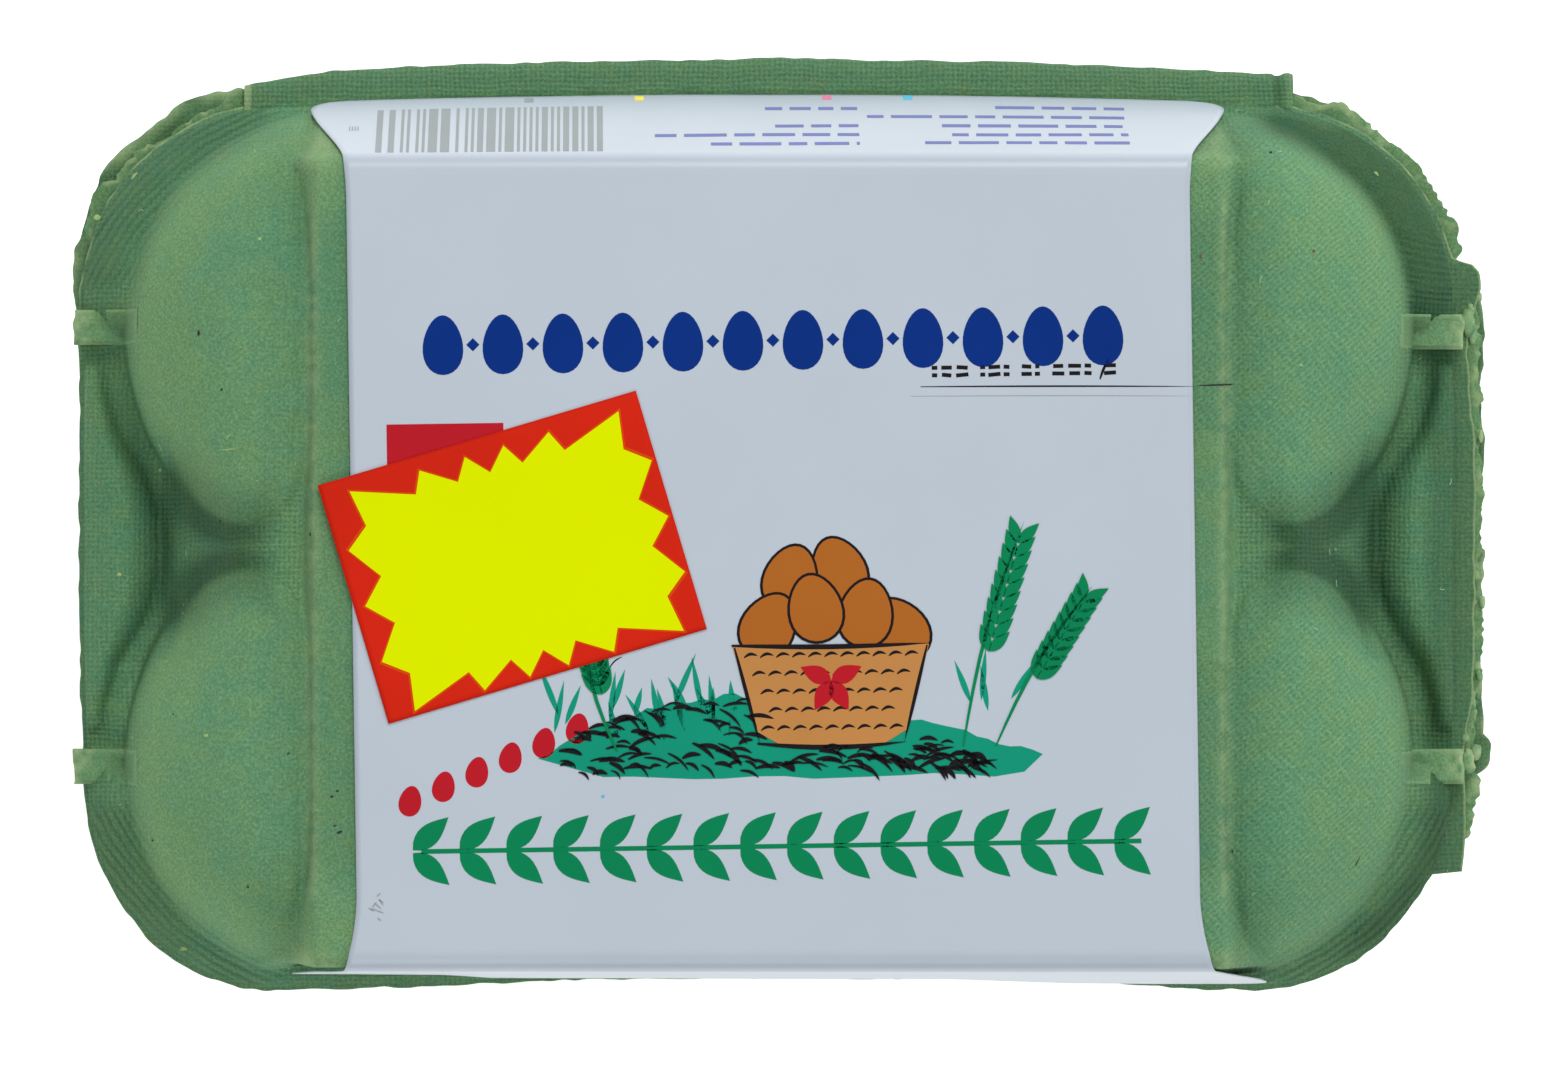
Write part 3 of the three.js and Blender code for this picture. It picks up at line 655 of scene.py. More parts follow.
def makeLid(material):
    plan = coonsGrid(lid["columns"] // lid["coarse"], lid["rows"] // lid["coarse"])
    plan = relax(plan, lid["relaxCoarse"])
    plan = refine(plan, lid["columns"], lid["rows"])
    fixed = coonsGrid(lid["columns"], lid["rows"])
    for edge in (np.s_[0, :], np.s_[-1, :], np.s_[:, 0], np.s_[:, -1]):
        plan[edge] = fixed[edge]
    plan = relax(plan, lid["relaxFine"])
    x, y = plan[..., 0], plan[..., 1]
    height = lidHeight(x, y)
    covered = (np.abs(x) < 50.5) & (height > 3)
    loose = np.where(covered, 0.25, 1.0)
    relief = sum(amount * lumps(x, y, size, seed) for amount, size, seed in lidRelief)
    z = level["lidTop"] + height + relief * loose
    shiftX = 0.12 * lumps(y, height, 5, 14) * loose
    wallShare = smooth(0.1, 1.0, rim["halfDepth"] - np.abs(y))
    pull = edgeBow(x, y) * (1 - wallShare) + wallPull(x, y, False) * wallShare
    pull = pull + (edgeBow(x, y) - pull) * smooth(50, 56, np.abs(x))
    z = z + 0.24 * lumps(x, y, 1.7, 26) * creasedCorner(x, y)
    points = np.stack([x + shiftX, y + pull * lidLean(z) + 0.1 * lumps(x, height, 5, 15) * loose, z], -1)
    rows, columns = x.shape
    index = np.arange(rows * columns).reshape(rows, columns)
    quads = np.stack([index[:-1, :-1], index[:-1, 1:], index[1:, 1:], index[1:, :-1]], -1).reshape(-1, 4)
    border, along = lidBorder(index)
    allPoints = [points.reshape(-1, 3)]
    faces = quads.tolist()
    first, count = border, len(border)
    total = rows * columns
    edgeZ = points.reshape(-1, 3)[border, 2]
    for inset, stripShare, drop in edgeRings:
        ring = rimPoint(along, inset + roughEdge(along, 21, 0.2) * (-0.4 < inset))
        natural = rimPoint(along, 0)
        inStrip = (natural[:, 0] > 0) & (natural[:, 1] > strip["y"][0]) & (natural[:, 1] < strip["y"][-1])
        edgeX = np.interp(natural[:, 1], strip["y"], strip["x"]) + roughEdge(along, 23, 0.12)
        ring[:, 0] += np.where(inStrip, np.maximum(0, edgeX - natural[:, 0]), 0) * stripShare
        base = np.minimum(edgeZ, level["lidTop"] + 0.3) if drop < 1.5 else level["lidTop"]
        allPoints.append(raised(ring, np.full(count, 1.0) * base - drop))
        second = np.arange(total, total + count)
        firstNext, secondNext = np.roll(first, -1), np.roll(second, -1)
        faces += np.stack([first, second, secondNext, firstNext], -1).tolist()
        first, total = second, total + count
    allPoints.append(np.array([[0, rim["bow"], level["lidTop"] - lid["thickness"]]]))
    faces += [(int(first[i]), total, int(first[(i + 1) % count])) for i in range(count)]
    piece = addPiece("lid", np.vstack(allPoints), faces, material, "carton")
    outer = total - rows * columns + 1
    ringX, ringY = np.concatenate([p[:, :2] for p in allPoints[1:]]).T
    ringNumber = np.concatenate([np.full(len(p), k) for k, p in enumerate(allPoints[1:])])
    for name, values in lidLooks(x, y, height).items():
        rings = edgeLooks(name, ringX, ringY, ringNumber)
        setPointValues(piece, name, np.concatenate([values.ravel(), rings[:outer]]))
    return piece


# Tray: its torn flange, and six cups with flat feet joined into one skin
tray = dict(ringCount=1500, cupSides=80, voxel=0.85)
cup = dict(pitchX=48.0, pitchY=48.0, foot=12.4, top=24.2, bulge=0.42, footEdge=1.6, round=2.1, squarer=0.6,
           narrower=0.985, bandSides=240, bandInset=1.6)
ragged = [
    dict(x=59, y=48, reach=22, out=1.7, edge=2),
    dict(x=75, y=2.6, reach=29, out=2.9, edge=16),
    dict(x=75, y=-22.5, reach=3.4, out=3.6, edge=4),
    dict(x=-67, y=44, reach=24, out=2.6, edge=2),
]


def trayGrow(x, y):
    away = lambda r: np.hypot(x - r["x"], y - r["y"]) / r["reach"]
    return np.max([r["out"] * np.exp(-2 * away(r) ** r["edge"]) for r in ragged], 0)


# The flange's section, as how far inside the rim and how high, from its root below to its root above
flangeSection = [(-6, 38.0), (-0.6, 38.0), (-0.1, 38.4), (0, 39.0), (-0.05, 39.6), (-0.45, 40.0),
                 (-1.4, 40.1), (-2.6, 40.1), (-6, 40.0)]


def makeFlange(material):
    count, turns = tray["ringCount"], len(flangeSection)
    along = np.linspace(0, outlineTotal, count, endpoint=False)
    natural = rimPoint(along, 0)
    torn = trayGrow(natural[:, 0], natural[:, 1])
    share = smooth(0.3, 1.4, torn)
    lobes = 0.42 * lumpsAlong(along, 5.5, 36) + 0.16 * lumpsAlong(along, 1.1, 37)
    rough = roughEdge(along, 31, 0.1) + lobes * share
    rings = []
    for inset, z in flangeSection:
        free = float(inset > -3)
        ring = rimPoint(along, inset + (torn + rough) * free)
        flutter = 0.22 * lumps(along, 0 * along + z * 0.1, 6, 35)
        flutter = (flutter + 0.3 * share * lumps(along, along * 0 + inset, 1.9, 39)) * free
        flutter = np.where(z > 39.5, np.minimum(flutter, 0.25), flutter)
        rings.append(raised(ring, z + flutter))
    faces = []
    for k in range(turns):
        faces += ringQuads(k * count, ((k + 1) % turns) * count, count)
    piece = addPiece("trayFlange", np.vstack(rings), faces, material, "carton")
    edge = np.concatenate([np.full(count, float(inset > -1)) for inset, _ in flangeSection])
    patchy = lumps(np.tile(along, turns), np.repeat(np.arange(turns), count), 2.1, 38)
    patchy = np.clip(0.3 + 0.9 * patchy, 0, 1)
    share = np.tile(share, turns)
    # Painted shade over the flange, deeper in patches on its torn parts; pale wear along its edge
    setLooks(piece, imprint=np.full(len(edge), 0.5), worn=edge * share * 0.4 * patchy,
             hollow=0.35 + 0.35 * share * (1 - patchy), tint=share * 0.5)


# Further torn layers along the edge: ragged ribbons of pulp, with painted shade in the gap and pale at their
# tips
tornLayers = [
    dict(name="tornRightLow", start=-33, end=29, inner=0.6, out=2.6, z=40.9, seed=81),
    dict(name="tornRightHigh", start=-24, end=28, inner=0.9, out=2.2, z=41.5, seed=84),
    dict(name="tornBackRight", start=30, end=66, inner=-0.6, out=1.35, z=41.2, seed=87),
    dict(name="tornBackLeft", start=166, end=196, inner=-0.3, out=1.0, z=40.6, seed=90),
]


tornStep = 0.16
tornShares = np.array([0, 0.25, 0.5, 0.7, 0.85, 0.95, 1.0])


def makeTornLayer(layer, material):
    count, seed = int((layer["end"] - layer["start"]) / tornStep), layer["seed"]
    along = np.linspace(layer["start"], layer["end"], count)
    ends = np.minimum(along - layer["start"], layer["end"] - along)
    fade = smooth(0, 2.5, ends)
    lobes = 0.5 * lumpsAlong(along, 4.3, seed) + 0.35 * lumpsAlong(along, 1.5, seed + 1)
    lobes = lobes + 0.22 * lumpsAlong(along, 0.5, seed + 2)
    out = layer["inner"] + (layer["out"] - layer["inner"] + lobes) * fade
    root = layer["inner"] - 0.9
    grids = []
    for side in (1, -1):
        rings = []
        for share in tornShares:
            ring = rimPoint(along, root + (out - root) * share)
            wave = 0.3 * lumps(along, 0 * along + share * 2, 2.3, seed + 3)
            wave = wave + 0.14 * lumps(along, share * 3 + 0 * along, 0.7, seed + 4)
            thick = 0.22 * (1.02 - share) ** 0.5
            rings.append(raised(ring, layer["z"] + wave * share - 0.35 * share ** 2 + side * thick))
        grids.append(np.stack(rings)[:, ::-1])
    piece = closedSheet(layer["name"], *grids, material, "green_pulp", "carton")
    tips = np.repeat(tornShares[:, None], count, 1)[:, ::-1]
    flecks = np.clip(lumps(np.tile(along, (len(tornShares), 1)), tips * 4, 0.9, seed + 5) * 1.4, 0, 1)
    # Painted shade towards the roots in the gap, pale flecks towards the tips
    setSheetLooks(piece, imprint=0.1 + 0 * tips, hollow=0.65 - 0.4 * tips,
                  worn=flecks * 0.55 * smooth(0.4, 1, tips), tint=0.6 + 0 * tips)


# Ribs: four small pads on the rim, between the domes' flanks and the edge
ribPad = dict(start=68.3, end=75.6, columns=90, rows=48, relief=0.09, sink=0.6, skirt=0.004, lower=0.5,
              corners=((-1, -1), (1, -1), (1, 1), (-1, 1)), moved=(0, 0, -0.5, 0))


def makeRibs(material):
    spread = lambda count: np.sin(np.linspace(-math.pi / 2, math.pi / 2, count))
    U, V = np.meshgrid(spread(ribPad["columns"]), spread(ribPad["rows"]))
    middle, halfLength = (ribPad["start"] + ribPad["end"]) / 2, (ribPad["end"] - ribPad["start"]) / 2
    toEdge = np.minimum(halfLength * (1 - np.abs(U)), rib["width"] / 2 * (1 - np.abs(V)))
    skirt = toEdge < ribPad["skirt"]
    for number, ((sx, sy), moved) in enumerate(zip(ribPad["corners"], ribPad["moved"])):
        x, y = sx * (middle + U * halfLength * sx), sy * rib["y"] + V * rib["width"] / 2 + moved
        x = x + 0.22 * lumps(y, 0 * y + number, 1.1, 62 + number) * smooth(70, 76, np.abs(x)) * sx
        rounded = rib["height"] - 0.5 * (1 - smooth(0, 0.45, toEdge)) - 3.4 * skirt
        dip = 0.25 * np.exp(-(((np.abs(x) - 70.5) / 2.2) ** 2)) * (1 - np.abs(V))
        onFlank = lidHeight(x, y) + 0.25 * smooth(0, 0.3, toEdge) - ribPad["lower"] * skirt
        z = level["lidTop"] + np.maximum(rounded - dip, onFlank * (np.abs(x) < 72))
        z = z + ribPad["relief"] * lumps(x, y, 0.9, 66 + number) * smooth(0, 0.4, toEdge)
        bowed = y + edgeBow(x, y)
        over = np.stack([x, bowed, z], -1)
        under = np.stack([x, bowed, 0 * z + level["lidTop"] - ribPad["sink"]], -1)
        piece = closedSheet(f"rib{number}", over, under, material, "green_pulp", "carton")
        # Painted shade on each pad, deeper over its inner middle; pale along its rim-side end and edges
        rimSide = smooth(73.0, 75.0, np.abs(x)) * (0.6 + 0.9 * lumps(x, y, 0.8, 70 + number))
        pale = 0.16 * (1 - smooth(0.1, 0.5, toEdge)) + 0.4 * rimSide
        darker = 0.2 * smooth(0.2, 0.9, toEdge) * (1 - smooth(70, 73, np.abs(x)))
        setSheetLooks(piece, imprint=0.12 + 0 * x, hollow=0.2 + darker, worn=np.clip(pale + 0.05, 0, 1),
                      tint=0.2 + 0 * x)


# Small lumps of pulp: torn crumbs at the ribs' ends, and flecks and specks on the lid
def lumpShape(x, y, z, halfX, halfY, halfZ, turn, seed):
    rings, around = 7, np.linspace(0, 2 * math.pi, 14, endpoint=False)
    points = [(0, 0, -1)]
    for k in range(1, rings):
        polar = math.pi * k / rings
        rough = 1 + 0.4 * lumps(np.cos(around) * 1.7 + k, np.sin(around) * 1.7, 1.0, seed)
        points += [(math.sin(polar) * math.cos(a) * g, math.sin(polar) * math.sin(a) * g, -math.cos(polar))
                   for a, g in zip(around, rough)]
    points.append((0, 0, 1))
    count = len(around)
    faces = [(0, 1 + (i + 1) % count, 1 + i) for i in range(count)]
    for k in range(rings - 2):
        faces += ringQuads(1 + k * count, 1 + (k + 1) * count, count)
    last = 1 + (rings - 2) * count
    faces += [(last + i, last + (i + 1) % count, len(points) - 1) for i in range(count)]
    p = np.array(points) * (halfX, halfY, halfZ)
    c, s = math.cos(turn), math.sin(turn)
    placed = np.stack([x + p[:, 0] * c - p[:, 1] * s, y + p[:, 0] * s + p[:, 1] * c, z + p[:, 2]], -1)
    return placed, faces


def makeLumps(name, shapes, material):
    points, faces, start = [], [], 0
    for shape, cut in shapes:
        points.append(shape)
        faces += [tuple(i + start for i in face) for face in cut]
        start += len(shape)
    flat = np.vstack(points)
    piece = addPiece(name, flat, faces, material, "carton")
    setPointValues(piece, "worn", np.clip(0.42 + 0.6 * lumps(flat[:, 0], flat[:, 1], 0.7, 77), 0, 1))


crumbs = [
    (76.2, 24.6, 42.3, 0.8, 1.6, 0.6), (76.8, 23.0, 41.9, 0.5, 0.8, 0.4), (76.5, 26.2, 41.8, 0.6, 0.7, 0.5),
    (76.3, -23.4, 42.0, 0.8, 1.3, 0.6), (77.2, -22.4, 41.6, 0.6, 0.9, 0.5),
    (75.9, -20.8, 41.9, 0.5, 0.6, 0.4),
    (77.4, 27.2, 41.3, 0.4, 0.6, 0.4), (-75.0, 25.0, 41.8, 0.35, 1.3, 0.5), (77.7, 12.0, 41.0, 0.3, 0.7, 0.3),
    (77.9, -6.0, 40.9, 0.3, 0.7, 0.3), (77.5, -14.0, 41.0, 0.3, 0.5, 0.3),
]
specks = dict(
    dark=[(-61.1, 23.0, 0.32, 0.20, 80), (-58.6, 16.9, 0.22, 0.14, 30), (-58.9, 2.8, 0.2, 0.12, 10),
          (-49.0, 1.4, 0.2, 0.13, 60), (-45.9, -30.5, 0.34, 0.16, 20), (-46.7, -26.7, 0.2, 0.12, 0),
          (54.0, 42.4, 0.22, 0.15, 40), (49.7, -32.6, 0.2, 0.12, 90), (63.8, -41.9, 0.24, 0.12, 30),
          (63.5, -33.8, 0.6, 0.07, 65), (-66.5, -31.7, 0.2, 0.12, 0), (-55.8, -36.4, 0.2, 0.14, 45),
          (-46.1, -26.1, 0.16, 0.1, 0), (-46.4, -29.8, 0.18, 0.1, 0), (47.9, 17.35, 1.9, 0.1, 2),
          (-51.4, -22.1, 0.16, 0.1, 20), (60.5, 8.0, 0.14, 0.1, 0), (-64.0, -18.0, 0.14, 0.1, 0)],
    red=[(58.4, 31.7, 0.22, 0.17, 50), (46.2, 31.1, 0.24, 0.13, 90)],
    pale=[(-63.4, -43.6, 0.6, 0.28, 20), (-69.0, 40.3, 0.55, 0.3, 60), (-73.2, 35.9, 0.4, 0.3, 0),
          (-57.3, 10.5, 1.6, 0.06, 4), (-66.2, 8.4, 0.3, 0.2, 0), (66.0, 40.5, 0.35, 0.22, 130),
          (-70.5, -3.0, 0.25, 0.2, 0), (-54.5, 33.0, 0.2, 0.15, 0), (57.0, 19.5, 0.2, 0.15, 0),
          (-60.2, -20.2, 0.35, 0.2, 10)],
)
speckThickness = 0.07


def makeSpecks(lidPiece, paints):
    mesh = lidPiece.data
    tree = BVHTree.FromPolygons([v.co for v in mesh.vertices], [p.vertices for p in mesh.polygons])
    for kind, places in specks.items():
        shapes = []
        for number, (x, y, halfX, halfY, turn) in enumerate(places):
            above = Vector(((x + boxShift[0]) * millimetre, (y + boxShift[1]) * millimetre, 0.1))
            hit = tree.ray_cast(above, Vector((0, 0, -1)))[0]
            z = hit.z / millimetre if hit else level["lidTop"]
            shapes.append(lumpShape(x, y, z, halfX, halfY, speckThickness, math.radians(turn), 100 + number))
        makeLumps(kind + "Specks", shapes, paints[kind])


def cupPoints(column, row):
    heights = np.concatenate([[0, 0.25, 0.6], np.linspace(1.2, level["flangeUnder"] + 0.6, 30)])
    turn = np.linspace(0, 2 * math.pi, tray["cupSides"], endpoint=False)
    rings = []
    for z in heights:
        up = z / level["flangeUnder"]
        lifted = (1 - math.sqrt(z / 0.6) * 0.75) if z < 0.6 else 0.2 * (z < 1)
        edge = cup["footEdge"] * lifted
        half = cup["foot"] + (cup["top"] - cup["foot"]) * up ** cup["bulge"] - edge
        power = cup["round"] + cup["squarer"] * up
        c, s = np.cos(turn), np.sin(turn)
        x = column * cup["pitchX"] + half * np.sign(c) * np.abs(c) ** (2 / power)
        y = row * cup["pitchY"] / 2 + half * np.sign(s) * np.abs(s) ** (2 / power) * cup["narrower"]
        rings.append(np.stack([x, y + rimBow(x) * z / level["trayTop"], np.full(len(x), z)], -1))
    return rings


def makeCups(material):
    points, faces = [], []
    for column in (-1, 0, 1):
        for row in (-1, 1):
            rings = cupPoints(column, row)
            start = sum(len(p) for p in points)
            count = tray["cupSides"]
            points.append(np.vstack(rings))
            for k in range(len(rings) - 1):
                faces += ringQuads(start + k * count, start + (k + 1) * count, count)
            faces += ringCaps(start, start + (len(rings) - 1) * count, count)
    sides = cup["bandSides"]
    loop = rimPoint(np.linspace(0, outlineTotal, sides, endpoint=False), -cup["bandInset"])
    start = sum(len(p) for p in points)
    for z in (level["flangeUnder"] - 0.1, level["trayTop"] - 0.15):
        points.append(np.stack([loop[:, 0], loop[:, 1] + rimBow(loop[:, 0]), np.full(len(loop), z)], -1))
    faces += ringQuads(start, start + sides, sides) + ringCaps(start, start + sides, sides)
    piece = addPiece("trayCups", np.vstack(points), faces, material, "carton")
    piece.data.remesh_voxel_size = tray["voxel"] * millimetre
    skin = piece.modifiers.new("skin", "REMESH")
    skin.mode = "VOXEL"
    skin.voxel_size = tray["voxel"] * millimetre
    ease = piece.modifiers.new("ease", "SMOOTH")
    ease.iterations = 3
    applyModifiers(piece)
    co = np.empty(len(piece.data.vertices) * 3)
    piece.data.vertices.foreach_get("co", co)
    co = co.reshape(-1, 3) / millimetre
    free = smooth(0.4, 3, co[:, 2]) * (1 - smooth(36, 37.5, co[:, 2]))
    co[:, 0] += 0.14 * lumps(co[:, 1], co[:, 2], 6, 41) * free
    co[:, 1] += 0.14 * lumps(co[:, 0], co[:, 2], 6, 42) * free
    co[:, 2] = np.where(co[:, 2] < 0.35, 0.0, co[:, 2])
    piece.data.vertices.foreach_set("co", (co * millimetre).ravel())
    piece.data.polygons.foreach_set("use_smooth", [True] * len(piece.data.polygons))
    piece.data.materials.clear()
    piece.data.materials.append(material)
    # Painted shade evenly over the cups
    setLooks(piece, imprint=np.full(len(co), 0.6), worn=0.15 * (co[:, 2] < 0.8),
             hollow=np.full(len(co), 0.25), tint=0.6 * lumps(co[:, 0] + co[:, 2], co[:, 1], 12, 43))
    return piece


def applyModifiers(piece):
    seen = bpy.context.evaluated_depsgraph_get()
    done = bpy.data.meshes.new_from_object(piece.evaluated_get(seen), depsgraph=seen)
    piece.modifiers.clear()
    piece.data = done


# Hinge: a rounded bead along the back
droop = dict(start=40.0, end=57.0, by=1.1)
hinge = dict(start=-57.2, end=57.2, outer=53.3, bowRate=5.5e-4, depth=2.6, height=2.1, z=40.3, sides=28,
             steps=240, curl=dict(x=56.6, reach=0.5, by=0.07), slot=dict(x=55.5, reach=0.35, by=0.12))


def hingeBump(part, x):
    return np.exp(-(((x - hinge[part]["x"]) / hinge[part]["reach"]) ** 2))


def makeHinge(material):
    sides, steps = hinge["sides"], hinge["steps"]
    turn = np.linspace(0, 2 * math.pi, sides, endpoint=False)
    places = np.linspace(hinge["start"], hinge["end"], steps + 1)
    rings = []
    for x in places:
        sunk = droop["by"] * max(0, (-x - droop["start"]) / (droop["end"] - droop["start"])) ** 2
        middle = hinge["outer"] - hinge["depth"] - hinge["bowRate"] * x * x - sunk
        curl = hinge["curl"]["by"] * hingeBump("curl", x) - hinge["slot"]["by"] * hingeBump("slot", x)
        grown = 1 + curl + 0.05 * lumps(x, 0, 4, 51)
        grown = grown + 0.03 * lumps(np.full(sides, x), np.cos(turn) * 3, 1.4, 52)
        y = middle + hinge["depth"] * grown * np.cos(turn)
        z = hinge["z"] + hinge["height"] * grown * np.sin(turn)
        rings.append(np.stack([np.full(sides, x), y, z], -1))
    faces = []
    for k in range(steps):
        faces += ringQuads(k * sides, (k + 1) * sides, sides)
    faces += ringCaps(0, steps * sides, sides)
    piece = addPiece("hinge", np.vstack(rings), faces, material, "carton")
    around, places = np.tile(turn, steps + 1), np.repeat(places, sides)
    meshSide = smooth(-0.2, 0.5, np.sin(around)) * smooth(-0.4, 0.2, np.cos(around))
    ends = 0.5 * (places < hinge["start"] + 0.6) + 0.12 * (places > hinge["end"] - 0.6)
    # Painted shade on the hinge's back half and in the slot near its right end
    setLooks(piece, imprint=0.35 + 0.65 * meshSide, worn=0.03 + ends, tint=np.zeros(len(around)),
             hollow=0.15 + 0.3 * smooth(-0.3, 0.3, np.cos(around)) + 0.5 * hingeBump("slot", places))


# Label: one sheet over the panel and down both walls, stuck on askew
label = dict(
    gap=0.26,
    thickness=0.16,
    halfWidth=45.1,
    aside=0.5,
    turn=0.85,
    back=dict(width=49.8, end=66.2),
    front=dict(width=53.2, end=68.2),
    flareFrom=37,
    cornerRound=4,
    columns=150,
    rows=230,
)


def labelHalfWidth(developed):
    pick = lambda key: np.where(developed > 0, label["back"][key], label["front"][key])
    s = np.abs(developed)
    flare = smooth(label["flareFrom"], pick("end"), s) * (pick("width") - label["halfWidth"])
    over = np.clip(s - (pick("end") - label["cornerRound"]), 0, label["cornerRound"])
    nip = label["cornerRound"] - np.sqrt(label["cornerRound"] ** 2 - over ** 2)
    return label["halfWidth"] + flare - nip


def sheetPoint(x, developed, offset):
    onWall = smooth(37, 43, np.abs(developed))
    ripple = 0.012 * lumps(x, developed, 30, 61) + 0.035 * lumps(x * 0.4, developed, 5, 62) * onWall
    y, z = sectionPoint(developed, label["gap"] + offset + ripple)
    return np.stack([x, y + wallPull(x, y, True) * lidLean(z), z], -1)


def closedSheet(name, over, under, material, slotName, standsFor):
    rows, columns = over.shape[:2]
    index = np.arange(rows * columns).reshape(rows, columns)
    top = np.stack([index[:-1, :-1], index[:-1, 1:], index[1:, 1:], index[1:, :-1]], -1).reshape(-1, 4)
    bottom = top[:, ::-1] + rows * columns
    border = np.concatenate([index[0, :], index[1:, -1], index[-1, -2::-1], index[-2:0:-1, 0]])
    after = np.roll(border, -1)
    side = np.stack([border, border + rows * columns, after + rows * columns, after], -1)
    points = np.vstack([over.reshape(-1, 3), under.reshape(-1, 3)])
    faces = np.vstack([top, bottom, side]).tolist()
    return addPiece(name, points, faces, material, standsFor)


def makeLabel(material):
    towardsFront = label["front"]["end"] * -1
    s = np.linspace(towardsFront, label["back"]["end"], label["rows"])
    s[0] += 1e-4
    s[-1] -= 1e-4
    half = labelHalfWidth(s)[:, None]
    lean = math.tan(math.radians(label["turn"])) * np.clip(s, -front["end"], back["end"])[:, None]
    x = label["aside"] + half * np.linspace(-1, 1, label["columns"])[None, :] - lean
    developed = np.broadcast_to(s[:, None], x.shape)
    over = sheetPoint(x, developed, label["thickness"])
    under = sheetPoint(x, developed, 0.0)
    return closedSheet("label", over, under, material, "label_paper", "label")


# Print: flat shapes of ink lying on the label, each ink one piece
inkLift = dict(first=0.026, more=0.004)


def onLabel(across, up, lift):
    turn = math.radians(label["turn"])
    x = label["aside"] + across * math.cos(turn) - up * math.sin(turn)
    s = across * math.sin(turn) + up * math.cos(turn)
    return sheetPoint(x, s, label["thickness"] + lift)


# Faces of one flat shape, cut small enough to follow the sheet
def cutPieces(outline, longest):
    form = bmesh.new()
    corners = [form.verts.new((px, py, 0)) for px, py in outline]
    form.faces.new(corners)
    low, high = np.min(outline, 0), np.max(outline, 0)
    for axis in (0, 1):
        for place in np.arange(math.ceil(low[axis] / longest) * longest, high[axis], longest):
            spot, facing = [0, 0, 0], [0, 0, 0]
            spot[axis], facing[axis] = place, 1
            geometry = form.verts[:] + form.edges[:] + form.faces[:]
            bmesh.ops.bisect_plane(form, geom=geometry, dist=1e-5, plane_co=spot, plane_no=facing)
    bmesh.ops.triangulate(form, faces=form.faces[:])
    form.verts.index_update()
    points = [(v.co.x, v.co.y) for v in form.verts]
    faces = [tuple(v.index for v in f.verts) for f in form.faces]
    upward = [f if turnedArea(points, f) > 0 else f[::-1] for f in faces]
    form.free()
    return points, upward


def turnedArea(points, face):
    (ax, ay), (bx, by), (cx, cy) = (points[i] for i in face[:3])
    return (bx - ax) * (cy - ay) - (cx - ax) * (by - ay)


def makeInk(name, shapes, material, layer, surface=onLabel, standsFor="label", slotName="label_paper",
            depth=0.02):
    points, faces = [], []
    for outline in shapes:
        flat, cut = cutPieces(outline, 5.0)
        start = len(points)
        points += flat
        faces += [tuple(i + start for i in face) for face in cut]
    flat = np.array(points)
    placed = surface(flat[:, 0], flat[:, 1], inkLift["first"] + inkLift["more"] * layer)
    piece = addPiece(name, placed, faces, material, standsFor, smoothFaces=False)
    body = piece.modifiers.new("thickness", "SOLIDIFY")
    body.thickness = depth * millimetre
    body.offset = -1
    return piece


def turnedTo(x, y, turn, points):
    c, s = math.cos(turn), math.sin(turn)
    return [(x + u * c - v * s, y + u * s + v * c) for u, v in points]


# Outlines of the shapes that the print is made of
def oval(x, y, halfX, halfY, turn=0.0, count=28, egg=0.0):
    shape = []
    for i in range(count):
        a = 2 * math.pi * i / count
        shape.append((halfX * math.cos(a) * (1 - egg * math.sin(a)), halfY * math.sin(a)))
    return turnedTo(x, y, turn, shape)


def bar(x, y, length, height, turn=0.0):
    u, v = length / 2, height / 2
    return turnedTo(x, y, turn, [(-u, -v), (u, -v), (u, v), (-u, v)])


def leaf(x, y, length, width, turn, count=9):
    upper = [(length * i / count, width * math.sin(math.pi * (i / count) ** 0.8)) for i in range(count + 1)]
    lower = [(u, -v) for u, v in reversed(upper[1:-1])]
    return turnedTo(x, y, turn, upper + lower)[::-1]


def stroke(x, y, length, width, turn, bend=0.0, count=8):
    middle = [(length * t / count, bend * math.sin(math.pi * t / count)) for t in range(count + 1)]
    wide = [width * math.sin(math.pi * (0.08 + 0.92 * t / count)) ** 0.6 / 2 for t in range(count + 1)]
    shape = [(u, v + w) for (u, v), w in zip(middle, wide)]
    shape += [(u, v - w) for (u, v), w in reversed(list(zip(middle, wide)))]
    return turnedTo(x, y, turn, shape)[::-1]


inkColors = dict(
    navy=(0, 45, 125),
    green=(0, 128, 80),
    grass=(12, 146, 117),
    brown=(172, 99, 34),
    straw=(190, 132, 72),
    black=(25, 22, 25),
    red=(184, 24, 38),
    barGrey=(150, 158, 160),
    textBlue=(112, 122, 176),
    pink=(226, 130, 160),
    cyan=(90, 185, 215),
    yellow=(240, 222, 90),
)


# Row of navy eggs and diamonds, and row of green leaves
titles = dict(navyY=22.1, greenY=-32.0, navyLength=77.0, greenLength=80.0, height=6.4, eggs=12, sprigs=16)


def ornamentRows():
    pitch = titles["navyLength"] / titles["eggs"]
    navy, green = [], []
    for i in range(titles["eggs"]):
        x = (i + 0.5) * pitch - titles["navyLength"] / 2 + 0.3
        navy.append(oval(x, titles["navyY"], 2.15, titles["height"] / 2, egg=0.16))
        if i + 1 < titles["eggs"]:
            navy.append(bar(x + pitch / 2, titles["navyY"], 1.0, 1.0, math.pi / 4))
    step = titles["greenLength"] / titles["sprigs"]
    green.append(bar(0.4, titles["greenY"], titles["greenLength"] - 3, 0.5))
    for i in range(titles["sprigs"]):
        x = (i + 0.12) * step - titles["greenLength"] / 2 + 0.4
        for side in (1, -1):
            green.append(leaf(x, titles["greenY"] + 0.15 * side, 5.2, 1.15, side * math.radians(42)))
    return navy, green


